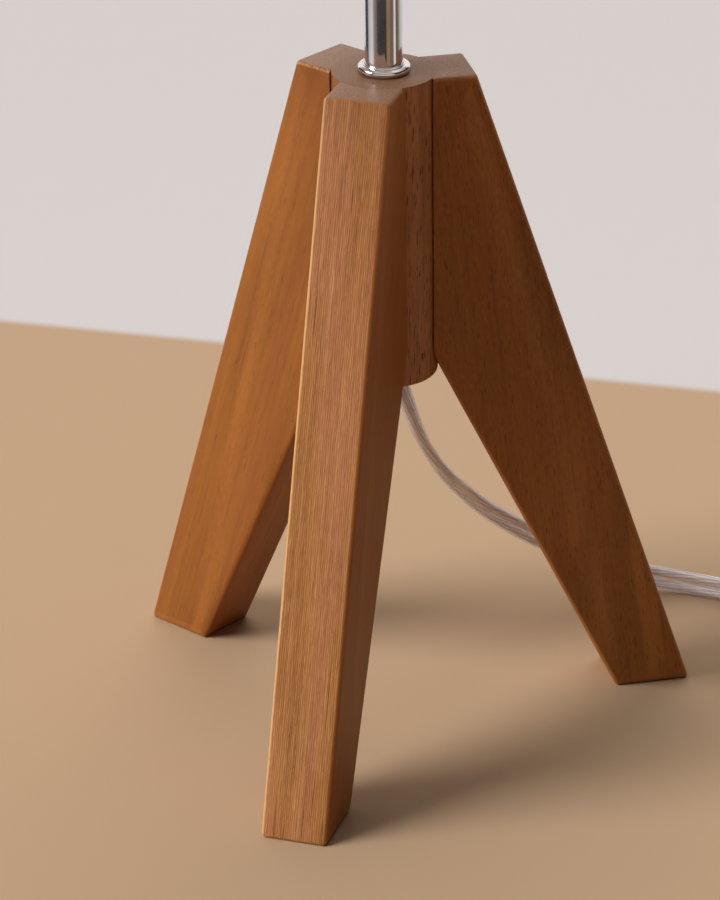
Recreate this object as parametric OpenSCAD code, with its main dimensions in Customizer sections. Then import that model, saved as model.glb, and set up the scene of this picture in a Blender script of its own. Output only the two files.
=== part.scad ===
// Tripod table lamp: three flat wooden legs glued round a turned hub, a chromed stem, a
// screw-in lampholder with its drum shade, and a clear flat cord with a rocker switch.
// Millimetres, +Z up. The origin is on the stem's axis, on the table.

/* [Legs] */
// Thickness of the board that the legs are cut from
leg_t = 18; // [16:0.5:20]
// Height of the flush top of the hub and the legs
base_h = 182; // [165:1:210]
// Reach of a leg's outer edge at the top, from the axis
leg_top_r = 22.5; // [21:0.5:28]
// Reach of a foot's outer end, from the axis
foot_outer_r = 82.5; // [78:0.5:95]
// Reach of a foot's inner end, from the axis
foot_inner_r = 61.8; // [50:0.1:66]
// Radius that a leg's inner edge turns with, where it leaves the hub
fork_round = 12; // [6:1:20]
// Rounding of a leg's long edges
leg_arris = 1.2; // [0.6:0.1:2]
// How far the left leg is glued off its even third, in degrees
left_leg_lag = 6.3; // [0:0.1:8]

/* [Hub] */
// Diameter of the turned hub
hub_d = 27; // [26:0.5:30]
// Length of the hub, down from its top
hub_len = 83.5; // [76:0.5:95]
// How far the hub hangs below the line where the legs part from it
hub_below = 7.8; // [5:0.1:12]
// Diameter of the recess under the hub
recess_d = 19.5; // [18.5:0.5:20.5]
// Depth of the recess under the hub
recess_depth = 24; // [20:0.5:28]
// Diameter of a hidden dowel
dowel_d = 6; // [4:0.5:6.5]
// Length of a hidden dowel
dowel_len = 16; // [12:0.5:18]
// How much of a dowel is in the hub
dowel_in_hub = 6; // [4:0.5:7]

/* [Stem] */
// Outside diameter of the chromed tube
tube_d = 9.8; // [9.4:0.1:10.2]
// Wall of the chromed tube
tube_wall = 0.9; // [0.7:0.1:1]
// Height of the lampholder above the hub's top
stem_rise = 58; // [50:1:120]
// Diameter of the collar on the hub
collar_d = 13.8; // [13:0.1:18]
// Height of the collar
collar_h = 3.2; // [2.6:0.1:5]
// Thickness of the washer in the recess
washer_t = 1.2; // [0.8:0.1:2]
// Thickness of the nut in the recess
nut_h = 4; // [3:0.5:5]
// Width of the nut across its flats
nut_af = 14; // [13:0.5:15]

/* [Lampholder] */
// Outside diameter of the cap
cap_d = 41; // [40:0.5:46]
// Height of the cap
cap_h = 24; // [22:0.5:30]
// Wall of the cap and of the shell
holder_wall = 2.2; // [1.8:0.1:2.6]
// Diameter of the shoulder that carries the shade
shoulder_d = 46; // [44:0.5:50]
// Outside diameter of the shell above its shoulder
shell_d = 39; // [38:0.5:40]
// Length of the shell above its shoulder
shell_len = 28; // [26:0.5:34]
// Outside diameter of the clamp ring
ring_d = 54; // [50:0.5:60]
// Height of the clamp ring
ring_h = 9.6; // [8:0.1:14]

/* [Bulb] */
// Diameter of the globe
bulb_d = 60; // [50:1:66]
// Length of the bulb, contact to top
bulb_len = 108; // [100:1:112]
// Diameter of the screw cap
bulb_cap_d = 26.4; // [26:0.1:26.6]

/* [Shade] */
// Diameter of the shade at its lower edge
shade_bottom_d = 230; // [200:1:260]
// Diameter of the shade at its upper edge
shade_top_d = 190; // [170:1:240]
// Height of the shade
shade_h = 160; // [155:1:200]
// Thickness of the lined cloth
cloth_t = 1.2; // [0.8:0.1:1.6]
// How far the shade's lower edge hangs below its seat on the lampholder
shade_drop = 13; // [8:0.5:16]
// Thickness of the wire of the rings and arms
wire_d = 3; // [2.5:0.1:4]
// Height of the hem tapes
hem_h = 9; // [6:0.5:14]

/* [Cord and switch] */
// Width of the flat cord
cord_w = 7; // [6.6:0.1:7]
// Thickness of the flat cord
cord_t = 3.4; // [3:0.1:3.4]
// Length of the switch
switch_len = 58; // [56:0.5:60]
// Width of the switch
switch_w = 22; // [20:0.5:24]
// Height of the switch housing
switch_h = 17; // [16:0.5:18]
// How far the rocker tilts each way from level, in degrees
rocker_tilt = 7; // [4:0.5:8]
// Length of the plug's grip
plug_len = 26; // [22:0.5:32]
// Width of the plug
plug_w = 22; // [20:0.5:26]
// Length of a plug blade
blade_len = 16; // [14:0.5:18]

/* [Hidden] */
$fn = 72;
eps = 0.01;

// Clearances
glue_gap = 0.1;     // between a leg's coped end and the hub, and under a hem tape
dowel_gap = 0.05;   // round a dowel
stem_gap = 0.3;     // between the tube and the wood
slip = 0.05;        // round a piece that slides onto the tube or into it
turn_gap = 0.1;     // between faces that turn on each other
free_gap = 0.3;     // round a piece that turns or lifts
cord_gap = 0.15;    // round the cord where a piece holds it
pin_gap = 0.05;     // round the rocker's pin
weld_gap = 0.12;    // between an arm's end and the ring that it is welded to

// Legs
leg_angles = [-90, 30, 150 + left_leg_lag];
hub_r = hub_d / 2;
hub_z = base_h - hub_len;
fork_z = hub_z + hub_below;
cope_r = hub_r + glue_gap;
leg_in_r = sqrt(cope_r * cope_r - leg_t * leg_t / 4) - glue_gap;
outer_lean = (foot_outer_r - leg_top_r) / base_h;
inner_lean = (foot_inner_r - leg_in_r) / fork_z;
fork_turn = atan(inner_lean);
recess_z = hub_z + recess_depth;
dowel_in_leg = dowel_len - dowel_in_hub;
dowel_heights = [recess_z + dowel_d / 2 + 4.5, base_h - dowel_d / 2 - 19];

// Stem
tube_r = tube_d / 2;
tube_bore_r = tube_r - tube_wall;
tube_tail = 4.3;
washer_z = recess_z - washer_t;
nut_z = washer_z - nut_h;
tube_z = nut_z - tube_tail;
bush_flange_t = 3;
bush_flange_d = 12;
bush_spigot = 8;
exit_z = tube_z - bush_flange_t;
holder_z = base_h + stem_rise;
tube_in_cap = 10;
tube_top = holder_z + tube_in_cap;

// Lampholder, heights above its underside
cap_r = cap_d / 2;
neck_r = 8.5;
neck_h = 5;
cap_floor = tube_in_cap + 1;
rim_h = 5;
spigot_h = rim_h - 0.3;
spigot_r = cap_r - holder_wall - slip;
shoulder_t = 5;
seat_h = cap_h + shoulder_t;
shell_r = shell_d / 2;
shell_bore_r = shell_r - holder_wall - 0.8;
ledge_r = shell_bore_r - 2.5;
ledge_h = cap_h + 2;
block_h = 8;
block_spigot = 8;
shell_top = seat_h + shell_len;
lip_t = 2.5;
lip_r = bulb_cap_d / 2 + 1;
brass_t = 0.7;
brass_r = bulb_cap_d / 2 + 0.4;
socket_h = ledge_h + block_h;
terminal_x = 8;
terminal_w = 5;
terminal_deep = 6;
terminal_screw_d = 2.8;
contact_h = socket_h + 2.2;
core_d = 2.2;

// Clamp ring and shade
plate_t = 1.2;
plate_r = 27.5;
seat_z = holder_z + seat_h;
plate_z = seat_z + turn_gap;
ring_z = plate_z + plate_t + turn_gap;
ring_flange_t = 2.6;
grip_count = 18;
grip_d = 3;
arm_angles = [90, 210, 330];
shade_z = seat_z - shade_drop;
shade_lean = (shade_bottom_d - shade_top_d) / 2 / shade_h;
wire_seat = 0.15;
hem_t = 0.5;
wire_r = wire_d / 2;
wire_up = wire_r + 0.5;

// Bulb, heights above its lower contact
bulb_z = holder_z + contact_h + 0.2;
bulb_lift = 26;
tip_r = 5;
tip_h = 1.6;
insulator_h = 4;
bulb_cap_h = 24;
bulb_r = bulb_d / 2;
globe_mid = bulb_len - bulb_r;
globe_t = 1;
collar_top_r = bulb_r * 0.9;
collar_top = globe_mid - sqrt(bulb_r * bulb_r - collar_top_r * collar_top_r);
collar_t = 1.4;
bulb_seat = 0.05;

// Switch, in its own frame: X along the cord, its middle at X 0
switch_at = [114.6, 74.25];
switch_turn = -10;
switch_wall = 1.8;
switch_floor = 1.1;
split_z = 8.5;
switch_end_w = 10;
cord_in_switch = 6;
switch_cord_z = switch_floor + cord_gap + cord_w / 2;
rocker_len = 17;
rocker_w = 10;
rocker_low = 3;
rocker_high = 3.6;
rocker_dip = 2.2;
rocker_z = switch_h - 2.8;
rocker_gap = 0.35;
pin_d = 2.4;
pin_in_wall = 1.4;
screw_x = 19;
screw_y = 4.3;
screw_d = 2.4;
screw_head_d = 4.4;
screw_head_h = 0.8;
boss_r = 2.3;

// Plug, in its own frame: X along the cord, its cord's mouth at X 0
plug_at = [197.5, -41];
plug_turn = -128;
plug_t = 15;
relief_len = 20;
blade_w = 6.35;
blade_t = 1.5;
blade_gap = 12.7;
blade_in = 8;
blade_hole_d = 3;

// The cord's route where it isn't wound, from its bush to the switch
lead_route = [
    [0, 0, exit_z], [0, 0, exit_z - 4], [0.6, 1, 101], [2, 3.2, 95], [3.5, 7.6, 84.8], [4.6, 13.3, 74.6],
    [6, 20.4, 64.6], [7.8, 28.4, 55.2], [10.3, 37.2, 46.3], [13.8, 46.4, 37.2], [19, 56.4, 28],
    [26, 65, 19.8], [35, 72.5, 12.8], [45, 77.8, 7.6], [55.2, 81, 4.7], [65, 82.2, 3.6],
    [74, 81.4, 3.5], [81, 80.2, 4], [87, 79.1, switch_cord_z], [92, 78.2, switch_cord_z]
];
// From the switch to the coil, but for its last points, which run straight to where the coil begins
link_route = [
    [137.2, 70.2, switch_cord_z], [143.2, 69.2, switch_cord_z], [150, 68, 4.4], [158, 66.5, 3.7],
    [164, 65.4, 3.5]
];
// From the coil to the plug, but for its first points, which run straight from where the coil ends
tail_route = [
    [213.8, -6, 10.7], [212.2, -13, 9.7], [210, -20.5, 8.6], [206.2, -28.5, 7.8],
    [202.5, -34.5, 7.5], [plug_at[0], plug_at[1], 7.5]
];
// The direction that the cord's twist is measured from, never in line with the route
twist_from = [0.28, -0.86, 0.43];
lead_twist = [[0, 138], [6, 90], [8, 68], [14, 28], [19, 28]];
tube_sides = 8;

// The coil: flat cord standing on edge, wound in on the table and out again on top
coil_centre = [173, 17.8];
coil_begin = 80;
coil_out_r = 45.4;
coil_pitch = 4.4;
coil_layer = 7.6;
turns_in = 3;
turns_flip = 0.5;
turns_out = 2.75;
coil_sides = 6;
rings_per_turn = 24;
coil_rings = (turns_in + turns_flip + turns_out) * rings_per_turn;

wood = [0.66, 0.4, 0.22];
wood_pink = [0.62, 0.39, 0.26];
chrome = [0.82, 0.83, 0.85];
steel = [0.65, 0.66, 0.68];
brass = [0.8, 0.66, 0.34];
white = [0.93, 0.93, 0.91];
cream = [0.9, 0.86, 0.78];
linen = [0.87, 0.83, 0.75];
clear_grey = [0.72, 0.71, 0.7];

// ---- Cord maths

function unit(v) = v / norm(v);

function heading(p, i) = unit(p[min(i + 1, len(p) - 1)] - p[max(i - 1, 0)]);

// The direction of the cord's width at a point of its route
function width_way(t, from, twist) =
    let (a = unit(cross(from, t)), b = cross(t, a)) cos(twist) * a + sin(twist) * b;

// One ring of a flat tube, as points round its centre
function ring_points(p, t, w, sides, width, thick) =
    [for (k = [0 : sides - 1])
        let (a = 360 * k / sides)
            p + w * width / 2 * cos(a) + cross(t, w) * thick / 2 * sin(a)];

// Standing on edge: the cord's width points up
function on_edge(t) = unit([0, 0, 1] - t * t[2]);

// A flat tube through the route's points, with the width's direction at each
module flat_tube(route, ways, sides) {
    n = len(route);
    points = [for (i = [0 : n - 1])
        each ring_points(route[i], heading(route, i), ways[i], sides, cord_w, cord_t)];
    last = (n - 1) * sides;
    sleeve = [for (i = [0 : n - 2], k = [0 : sides - 1])
        let (a = i * sides + k, b = i * sides + (k + 1) % sides)
            each [[a, a + sides, b], [b, a + sides, b + sides]]];
    caps = [for (k = [1 : sides - 2])
        each [[0, k, k + 1], [last, last + k + 1, last + k]]];
    polyhedron(points, concat(sleeve, caps));
}

// A thin round wire through a few points
module round_wire(route, d, sides = 8) {
    n = len(route);
    points = [for (i = [0 : n - 1])
        let (t = heading(route, i))
            each ring_points(route[i], t, width_way(t, [1, 0.2, 0.1], 0), sides, d, d)];
    last = (n - 1) * sides;
    sleeve = [for (i = [0 : n - 2], k = [0 : sides - 1])
        let (a = i * sides + k, b = i * sides + (k + 1) % sides)
            each [[a, a + sides, b], [b, a + sides, b + sides]]];
    caps = [for (k = [1 : sides - 2])
        each [[0, k, k + 1], [last, last + k + 1, last + k]]];
    polyhedron(points, concat(sleeve, caps));
}

function eased(x) = let (c = min(max(x, 0), 1)) c * c * (3 - 2 * c);

// The coil's radius and height after u turns: in, over, and out again
function coil_r(u) =
    let (in_r = coil_out_r - coil_pitch * turns_in, v = u - turns_in)
        v <= 0 ? coil_out_r - coil_pitch * u
        : v < turns_flip ? in_r - coil_pitch * v * (1 - v / turns_flip)
        : in_r + coil_pitch * (v - turns_flip);

function coil_z(u) = cord_w / 2 + coil_layer * eased((u - turns_in) / turns_flip);

function coil_point(u) =
    let (a = coil_begin - 360 * u, r = coil_r(u))
        [coil_centre[0] + r * cos(a), coil_centre[1] + r * sin(a), coil_z(u)];

coil_turns = [for (i = [0 : coil_rings]) coil_point(i / rings_per_turn)];
function round_way(u) = let (a = coil_begin - 360 * u) [sin(a), -cos(a), 0];
way_in = round_way(0);
way_out = round_way(coil_rings / rings_per_turn);
coil_start = coil_turns[0] - cord_w * way_in;
coil_end = coil_turns[coil_rings] + cord_w * way_out;
straight = 4;
coil_route = concat([coil_start], coil_turns, [coil_end]);

// The least gap between turns that lie beside or over each other, on points of their sections
gap_marks = 12;
coil_marks = [for (i = [0 : coil_rings])
    let (t = heading(coil_turns, i))
        ring_points(coil_turns[i], t, on_edge(t), gap_marks, cord_w, cord_t)];
function ring_gap(a, b) = min([for (p = a, q = b) norm(p - q)]);
coil_gap = min([for (i = [0 : coil_rings], k = [1 : 6], m = [-1 : 1])
    let (j = i + k * rings_per_turn + m)
        if (j <= coil_rings && norm(coil_turns[i] - coil_turns[j]) < 2 * cord_w)
            ring_gap(coil_marks[i], coil_marks[j])]);
echo(str("Least gap between the turns of the coil: ", coil_gap, " mm"));

// ---- Base

// A leg's outline in its own plane: X out from the axis, Y up, drawn in by a margin
function leg_outline(inset) =
    let (o = inset * sqrt(1 + outer_lean * outer_lean),
         n = inset * sqrt(1 + inner_lean * inner_lean),
         low = foot_inner_r - inset * inner_lean + n,
         corner_z = (foot_inner_r + n - leg_in_r) / inner_lean,
         arc_z = corner_z + fork_round * tan(fork_turn / 2))
        concat(
            [[leg_in_r, base_h - inset],
             [leg_top_r + inset * outer_lean - o, base_h - inset],
             [foot_outer_r - inset * outer_lean - o, inset],
             [low, inset]],
            [for (i = [5 : -1 : 0])
                let (a = fork_turn * i / 5)
                    [leg_in_r + fork_round * (1 - cos(a)), arc_z - fork_round * sin(a)]]);

// A dowel's place, from the hub's inside out
module along_dowels() {
    for (z = dowel_heights)
        translate([hub_r - dowel_in_hub, 0, z])
            rotate([0, 90, 0])
                children();
}

module leg(angle) {
    color(wood)
        rotate([0, 0, angle])
            difference() {
                hull()
                    for (side = [-1, 1], a = [0, 45, 90]) {
                        inset = leg_arris * (1 - cos(a));
                        y = leg_t / 2 - leg_arris * (1 - sin(a));
                        translate([0, side * y, 0])
                            rotate([90, 0, 0])
                                linear_extrude(eps, center = true)
                                    polygon(leg_outline(inset));
                    }
                translate([0, 0, -1])
                    cylinder(h = base_h + 2, r = cope_r);
                along_dowels()
                    cylinder(h = dowel_len + dowel_gap, d = dowel_d + 2 * dowel_gap);
            }
}

module leg_front() { leg(leg_angles[0]); }

module leg_right() { leg(leg_angles[1]); }

module leg_left() { leg(leg_angles[2]); }

module leg_dowels() {
    color(wood_pink)
        for (angle = leg_angles)
            rotate([0, 0, angle])
                along_dowels()
                    cylinder(h = dowel_len, d = dowel_d);
}

module hub() {
    edge = 0.6;
    color(wood_pink)
        difference() {
            rotate_extrude()
                polygon([
                    [0, hub_z], [hub_r - edge, hub_z], [hub_r, hub_z + edge],
                    [hub_r, base_h], [0, base_h]]);
            translate([0, 0, hub_z - 1])
                cylinder(h = hub_len + 2, r = tube_r + stem_gap);
            translate([0, 0, hub_z - 1])
                cylinder(h = recess_depth + 1, d = recess_d);
            for (angle = leg_angles)
                rotate([0, 0, angle])
                    along_dowels()
                        translate([0, 0, -dowel_gap])
                            cylinder(h = dowel_len, d = dowel_d + 2 * dowel_gap);
        }
}

// ---- Stem

module stem_tube() {
    color(chrome)
        translate([0, 0, tube_z])
            difference() {
                cylinder(h = tube_top - tube_z, r = tube_r);
                translate([0, 0, -1])
                    cylinder(h = tube_top - tube_z + 2, r = tube_bore_r);
            }
}

// A turned collar: a rounded rim and a hollow slope up to the tube
module stem_collar() {
    rim = collar_h * 0.34;
    r = collar_d / 2;
    slope_r = r - rim - tube_r - 0.7;
    color(chrome)
        translate([0, 0, base_h])
            rotate_extrude()
                difference() {
                    union() {
                        translate([tube_r + slip, 0])
                            square([r - rim - tube_r - slip, 2 * rim]);
                        translate([r - rim, rim])
                            circle(rim);
                        translate([tube_r + slip, 0])
                            square([slope_r + 0.7 - slip, collar_h]);
                    }
                    translate([r - rim, collar_h])
                        circle(slope_r);
                    translate([-1, -1])
                        square([tube_r + slip + 1, collar_h + 2]);
                }
}

module stem_washer() {
    color(steel)
        translate([0, 0, washer_z])
            difference() {
                cylinder(h = washer_t, d = recess_d - 2 * free_gap);
                translate([0, 0, -1])
                    cylinder(h = washer_t + 2, r = tube_r + slip);
            }
}

module stem_nut() {
    flats = 6;
    color(steel)
        translate([0, 0, nut_z])
            difference() {
                intersection() {
                    cylinder(h = nut_h, d = nut_af / cos(180 / flats), $fn = flats);
                    cylinder(h = nut_h, d1 = nut_af * 1.25, d2 = nut_af * 1.1);
                }
                translate([0, 0, -1])
                    cylinder(h = nut_h + 2, r = tube_r + slip);
            }
}

// The cord's flat hole, standing through a piece on the axis
module cord_slot(h, gap) {
    width = cord_w + 2 * gap;
    thick = cord_t + 2 * gap;
    rotate([0, 0, exit_turn])
        translate([0, 0, h / 2]) {
            cube([width - thick, thick, h], center = true);
            for (side = [-1, 1])
                translate([side * (width - thick) / 2, 0, 0])
                    cylinder(h = h, d = thick, center = true);
        }
}
exit_way = width_way([0, 0, -1], twist_from, lead_twist[0][1]);
exit_turn = atan2(exit_way[1], exit_way[0]);

module cord_bush() {
    color(white)
        translate([0, 0, exit_z])
            difference() {
                union() {
                    rotate_extrude()
                        polygon([
                            [0, 0], [bush_flange_d / 2 - 0.8, 0], [bush_flange_d / 2, 0.8],
                            [bush_flange_d / 2, bush_flange_t], [0, bush_flange_t]]);
                    cylinder(h = bush_flange_t + bush_spigot, r = tube_bore_r - slip);
                }
                translate([0, 0, -1])
                    cord_slot(bush_flange_t + bush_spigot + 2, cord_gap);
            }
}

module inner_cord() {
    color(clear_grey)
        translate([0, 0, exit_z])
            cord_slot(tube_top + 1 - exit_z, 0);
}

// ---- Lampholder

module holder_cap() {
    inside_r = cap_r - holder_wall;
    color(white)
        translate([0, 0, holder_z])
            difference() {
                rotate_extrude()
                    difference() {
                        union() {
                            square([neck_r, neck_h + 1]);
                            intersection() {
                                translate([0, neck_h])
                                    square([cap_r, cap_h - neck_h]);
                                translate([0, cap_h - rim_h])
                                    scale([1, (cap_h - rim_h - neck_h + 2) / cap_r])
                                        circle(cap_r);
                            }
                            translate([0, cap_h - rim_h])
                                square([cap_r, rim_h]);
                        }
                        difference() {
                            translate([0, cap_floor])
                                square([inside_r, cap_h]);
                            difference() {
                                translate([0, cap_floor])
                                    square([inside_r, cap_h - rim_h - cap_floor]);
                                translate([0, cap_h - rim_h])
                                    scale([1, (cap_h - rim_h - cap_floor + 1) / inside_r])
                                        circle(inside_r);
                            }
                        }
                        translate([-1, -1])
                            square([tube_r + slip + 1, cap_h]);
                    }
                translate([0, 0, neck_h / 2])
                    rotate([0, 90, 180])
                        cylinder(h = neck_r + 1, d = 3);
            }
}

module grub_screw() {
    color(steel)
        translate([0, 0, holder_z + neck_h / 2])
            rotate([0, 90, 180])
                translate([0, 0, tube_r + slip])
                    difference() {
                        cylinder(h = neck_r - tube_r - slip - 0.3, d = 3 - 2 * slip);
                        translate([0, 0, neck_r - tube_r - 1.6])
                            cube([0.5, 4, 2], center = true);
                    }
}

module holder_shell() {
    color(white)
        translate([0, 0, holder_z])
            rotate_extrude()
                difference() {
                    union() {
                        translate([0, cap_h - spigot_h])
                            square([spigot_r, spigot_h + 1]);
                        translate([0, cap_h + slip])
                            square([shoulder_d / 2, shoulder_t - slip]);
                        translate([0, seat_h - 1])
                            square([shell_r, shell_len + 1]);
                    }
                    translate([-1, 0])
                        square([ledge_r + 1, shell_top + 1]);
                    translate([-1, 0])
                        square([shell_bore_r + 1 - 0.5, cap_h]);
                    translate([-1, ledge_h])
                        square([shell_bore_r + 1, shell_top - lip_t - ledge_h]);
                    translate([-1, ledge_h])
                        square([lip_r + 1, shell_top]);
                }
}

module terminal_block() {
    color(cream)
        translate([0, 0, holder_z])
            difference() {
                union() {
                    translate([0, 0, ledge_h])
                        cylinder(h = block_h, r = shell_bore_r - slip);
                    translate([0, 0, ledge_h - block_spigot])
                        cylinder(h = block_spigot + 1, r = ledge_r - slip);
                }
                for (side = [-1, 1])
                    translate([side * terminal_x, 0, ledge_h - block_spigot]) {
                        cube([terminal_w + 2 * slip, terminal_w + 2 * slip, 2 * (terminal_deep + slip)],
                             center = true);
                        translate([0, 0, terminal_deep / 2])
                            rotate([0, 90, side > 0 ? 0 : 180])
                                cylinder(h = ledge_r, d = 4.6);
                    }
                translate([-8, -3.2, contact_h - 1.8])
                    cube([16, 6.4, 4]);
            }
}

// Two brass blocks, each bored for its wire from below and for its screw from the side
module terminals() {
    color(brass)
        for (side = [-1, 1])
            translate([side * terminal_x, 0, holder_z + ledge_h - block_spigot])
                difference() {
                    translate([-terminal_w / 2, -terminal_w / 2, 0])
                        cube([terminal_w, terminal_w, terminal_deep]);
                    translate([0, 0, -1])
                        cylinder(h = 5, d = core_d + 2 * cord_gap);
                    translate([0, 0, terminal_deep / 2])
                        rotate([0, 90, side > 0 ? 0 : 180])
                            cylinder(h = terminal_w, d = terminal_screw_d + 2 * slip);
                }
}

module terminal_screws() {
    grip = core_d / 2 + cord_gap;
    color(steel)
        for (side = [-1, 1])
            translate([side * terminal_x, 0, holder_z + ledge_h - block_spigot + terminal_deep / 2])
                rotate([0, 90, side > 0 ? 0 : 180])
                    translate([0, 0, grip])
                        difference() {
                            union() {
                                cylinder(h = terminal_w / 2 - grip + 0.1, d = terminal_screw_d);
                                translate([0, 0, terminal_w / 2 - grip + slip])
                                    cylinder(h = 1.6, d = 4.2);
                            }
                            translate([0, 0, terminal_w / 2 - grip + 1.6])
                                cube([0.6, 5, 1.2], center = true);
                        }
}

// A sprung tongue over the middle of the block
module centre_contact() {
    rise = 2;
    leaf_t = 0.6;
    run = 6;
    color(brass)
        translate([0, 3, holder_z + contact_h - 2.2])
            rotate([90, 0, 0])
                linear_extrude(6)
                    polygon([
                        [-7.5, 0.4 - slip], [-run, 0.4 - slip], [-2.5, rise], [2.5, rise + 0.2],
                        [2.5, rise + 0.2 - leaf_t], [-2.2, rise - leaf_t], [-run + 0.3, 0.4 - leaf_t + 0.2],
                        [-7.5, 0.4 - leaf_t + 0.2]]);
}

// The brass shell that the bulb screws into, with its foot on the block
module screw_shell() {
    color(brass)
        translate([0, 0, holder_z])
            rotate_extrude() {
                translate([brass_r, socket_h])
                    square([brass_t, shell_top - lip_t - socket_h - 0.2]);
                translate([9.5, socket_h])
                    square([shell_bore_r - slip - 9.5, 0.8]);
            }
}

// Two insulated cores that part above the tube and run to the terminals
module core_wires() {
    fork = tube_top + 1;
    top = holder_z + ledge_h - block_spigot;
    color(clear_grey)
        for (side = [-1, 1]) {
            start = side * (cord_w - cord_t) / 2 * [cos(exit_turn), sin(exit_turn)];
            stop = [sign(start[0]) * terminal_x, 0];
            round_wire([
                [start[0], start[1], fork],
                [start[0], start[1], fork + 1.5],
                [stop[0] * 0.5, start[1] * 0.6, fork + 4],
                [stop[0] * 0.95, start[1] * 0.1, top - 2.2],
                [stop[0], stop[1], top - 0.5],
                [stop[0], stop[1], top + 3.5]], core_d);
        }
}

// The threaded ring that clamps the shade's carrier to the shoulder
module clamp_ring() {
    color(white)
        translate([0, 0, ring_z])
            difference() {
                rotate_extrude()
                    difference() {
                        union() {
                            square([ring_d / 2 - 0.6, ring_flange_t]);
                            translate([0, 0.6])
                                square([ring_d / 2, ring_flange_t - 0.6]);
                            square([shell_r + 3.6, ring_h]);
                        }
                        translate([-1, -1])
                            square([shell_r + free_gap + 1, ring_h + 2]);
                    }
                for (i = [0 : grip_count - 1])
                    rotate([0, 0, 360 * i / grip_count])
                        translate([ring_d / 2 + grip_d * 0.28, 0, -1])
                            cylinder(h = ring_flange_t + 2, d = grip_d, $fn = 24);
            }
}

// ---- Shade

// The cloth's outer radius at a height above its lower edge
function cloth_r(h) = shade_bottom_d / 2 - shade_lean * h;

// A band that follows the cloth, from its outside
module cloth_band(from_h, to_h, out, thick) {
    translate([0, 0, shade_z])
        rotate_extrude($fn = 144)
            polygon([
                [cloth_r(from_h) + out - thick, from_h], [cloth_r(from_h) + out, from_h],
                [cloth_r(to_h) + out, to_h], [cloth_r(to_h) + out - thick, to_h]]);
}

// The radius of a ring's wire, from the axis to the wire's middle
function ring_r(h) = cloth_r(h) - cloth_t - wire_seat - wire_r * sqrt(1 + shade_lean * shade_lean);

module wire_ring(h) {
    translate([0, 0, shade_z + h])
        rotate_extrude($fn = 144)
            translate([ring_r(h), 0])
                circle(wire_r, $fn = 24);
}

// A plate round the lampholder, with three arms that fall to the lower ring
module shade_carrier() {
    inner_r = plate_r - 1.5;
    inner_z = plate_z + plate_t / 2 - wire_r * 0.6;
    outer_r = ring_r(wire_up) - wire_r - weld_gap;
    outer_z = shade_z + wire_up;
    run = outer_r - inner_r;
    fall = outer_z - inner_z;
    color(steel) {
        translate([0, 0, plate_z])
            difference() {
                cylinder(h = plate_t, r = plate_r);
                translate([0, 0, -1])
                    cylinder(h = plate_t + 2, r = shell_r + free_gap);
            }
        for (angle = arm_angles)
            rotate([0, 0, angle])
                translate([inner_r, 0, inner_z])
                    rotate([0, 90 - atan2(fall, run), 0])
                        cylinder(h = norm([run, fall]), d = wire_d * 0.9);
    }
}

module shade_bottom_ring() {
    color(steel)
        wire_ring(wire_up);
}

module shade_top_ring() {
    color(steel)
        wire_ring(shade_h - wire_up);
}

module shade_cloth() {
    color(linen)
        cloth_band(0, shade_h, 0, cloth_t);
}

module hem_bottom() {
    color(linen)
        cloth_band(0, hem_h, hem_t + glue_gap, hem_t);
}

module hem_top() {
    color(linen)
        cloth_band(shade_h - hem_h, shade_h, hem_t + glue_gap, hem_t);
}

// ---- Bulb

// The globe: a ball down to the collar, hollow
module bulb_globe() {
    color(white)
        translate([0, 0, bulb_z])
            rotate_extrude()
                intersection() {
                    difference() {
                        translate([0, globe_mid])
                            circle(bulb_r);
                        translate([0, globe_mid])
                            circle(bulb_r - globe_t);
                    }
                    translate([0, collar_top + bulb_seat])
                        square([bulb_r, bulb_len]);
                }
}

// The flared collar between the cap and the globe, a quarter wave in outline
module bulb_collar() {
    neck = bulb_cap_d / 2 + 0.4;
    low = bulb_cap_h;
    steps = 12;
    function flare(i) = neck + (collar_top_r - neck) * sin(90 * i / steps);
    function level(i) = low + (collar_top - low) * i / steps;
    color(white)
        translate([0, 0, bulb_z])
            rotate_extrude()
                polygon(concat(
                    [for (i = [0 : steps]) [flare(i), level(i)]],
                    [for (i = [steps : -1 : 0]) [flare(i) - collar_t, level(i)]]));
}

module bulb_cap() {
    color(steel)
        translate([0, 0, bulb_z])
            rotate_extrude()
                difference() {
                    union() {
                        translate([0, insulator_h])
                            square([bulb_cap_d / 2, bulb_cap_h - insulator_h - bulb_seat]);
                        polygon([
                            [0, insulator_h], [8.5, insulator_h - 0.4], [bulb_cap_d / 2, insulator_h + 1.5],
                            [0, insulator_h + 2]]);
                    }
                    translate([0, insulator_h + 2.4])
                        square([bulb_cap_d / 2 - brass_t, bulb_cap_h]);
                    translate([-1, -1])
                        square([9.5, insulator_h + 4]);
                }
}

// The black insulator under the cap, with the lower contact on it
module bulb_contact() {
    color([0.2, 0.2, 0.2])
        translate([0, 0, bulb_z])
            rotate_extrude()
                polygon([
                    [0, 0], [tip_r - 0.8, 0], [tip_r, tip_h / 2], [tip_r, tip_h], [8.4, insulator_h],
                    [8.4, insulator_h + 2.6], [0, insulator_h + 2.6]]);
}

// ---- Cord

module cord_lead() {
    n = len(lead_route);
    color(clear_grey)
        flat_tube(lead_route,
                  [for (i = [0 : n - 1])
                      width_way(heading(lead_route, i), twist_from, lookup(i, lead_twist))],
                  tube_sides);
}

module cord_link() {
    route = concat(link_route, [coil_start - straight * way_in, coil_start]);
    color(clear_grey)
        flat_tube(route, [for (i = [0 : len(route) - 1]) on_edge(heading(route, i))], tube_sides);
}

module cord_coil() {
    color(clear_grey)
        flat_tube(coil_route,
                  [for (i = [0 : len(coil_route) - 1]) on_edge(heading(coil_route, i))],
                  coil_sides);
}

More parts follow.
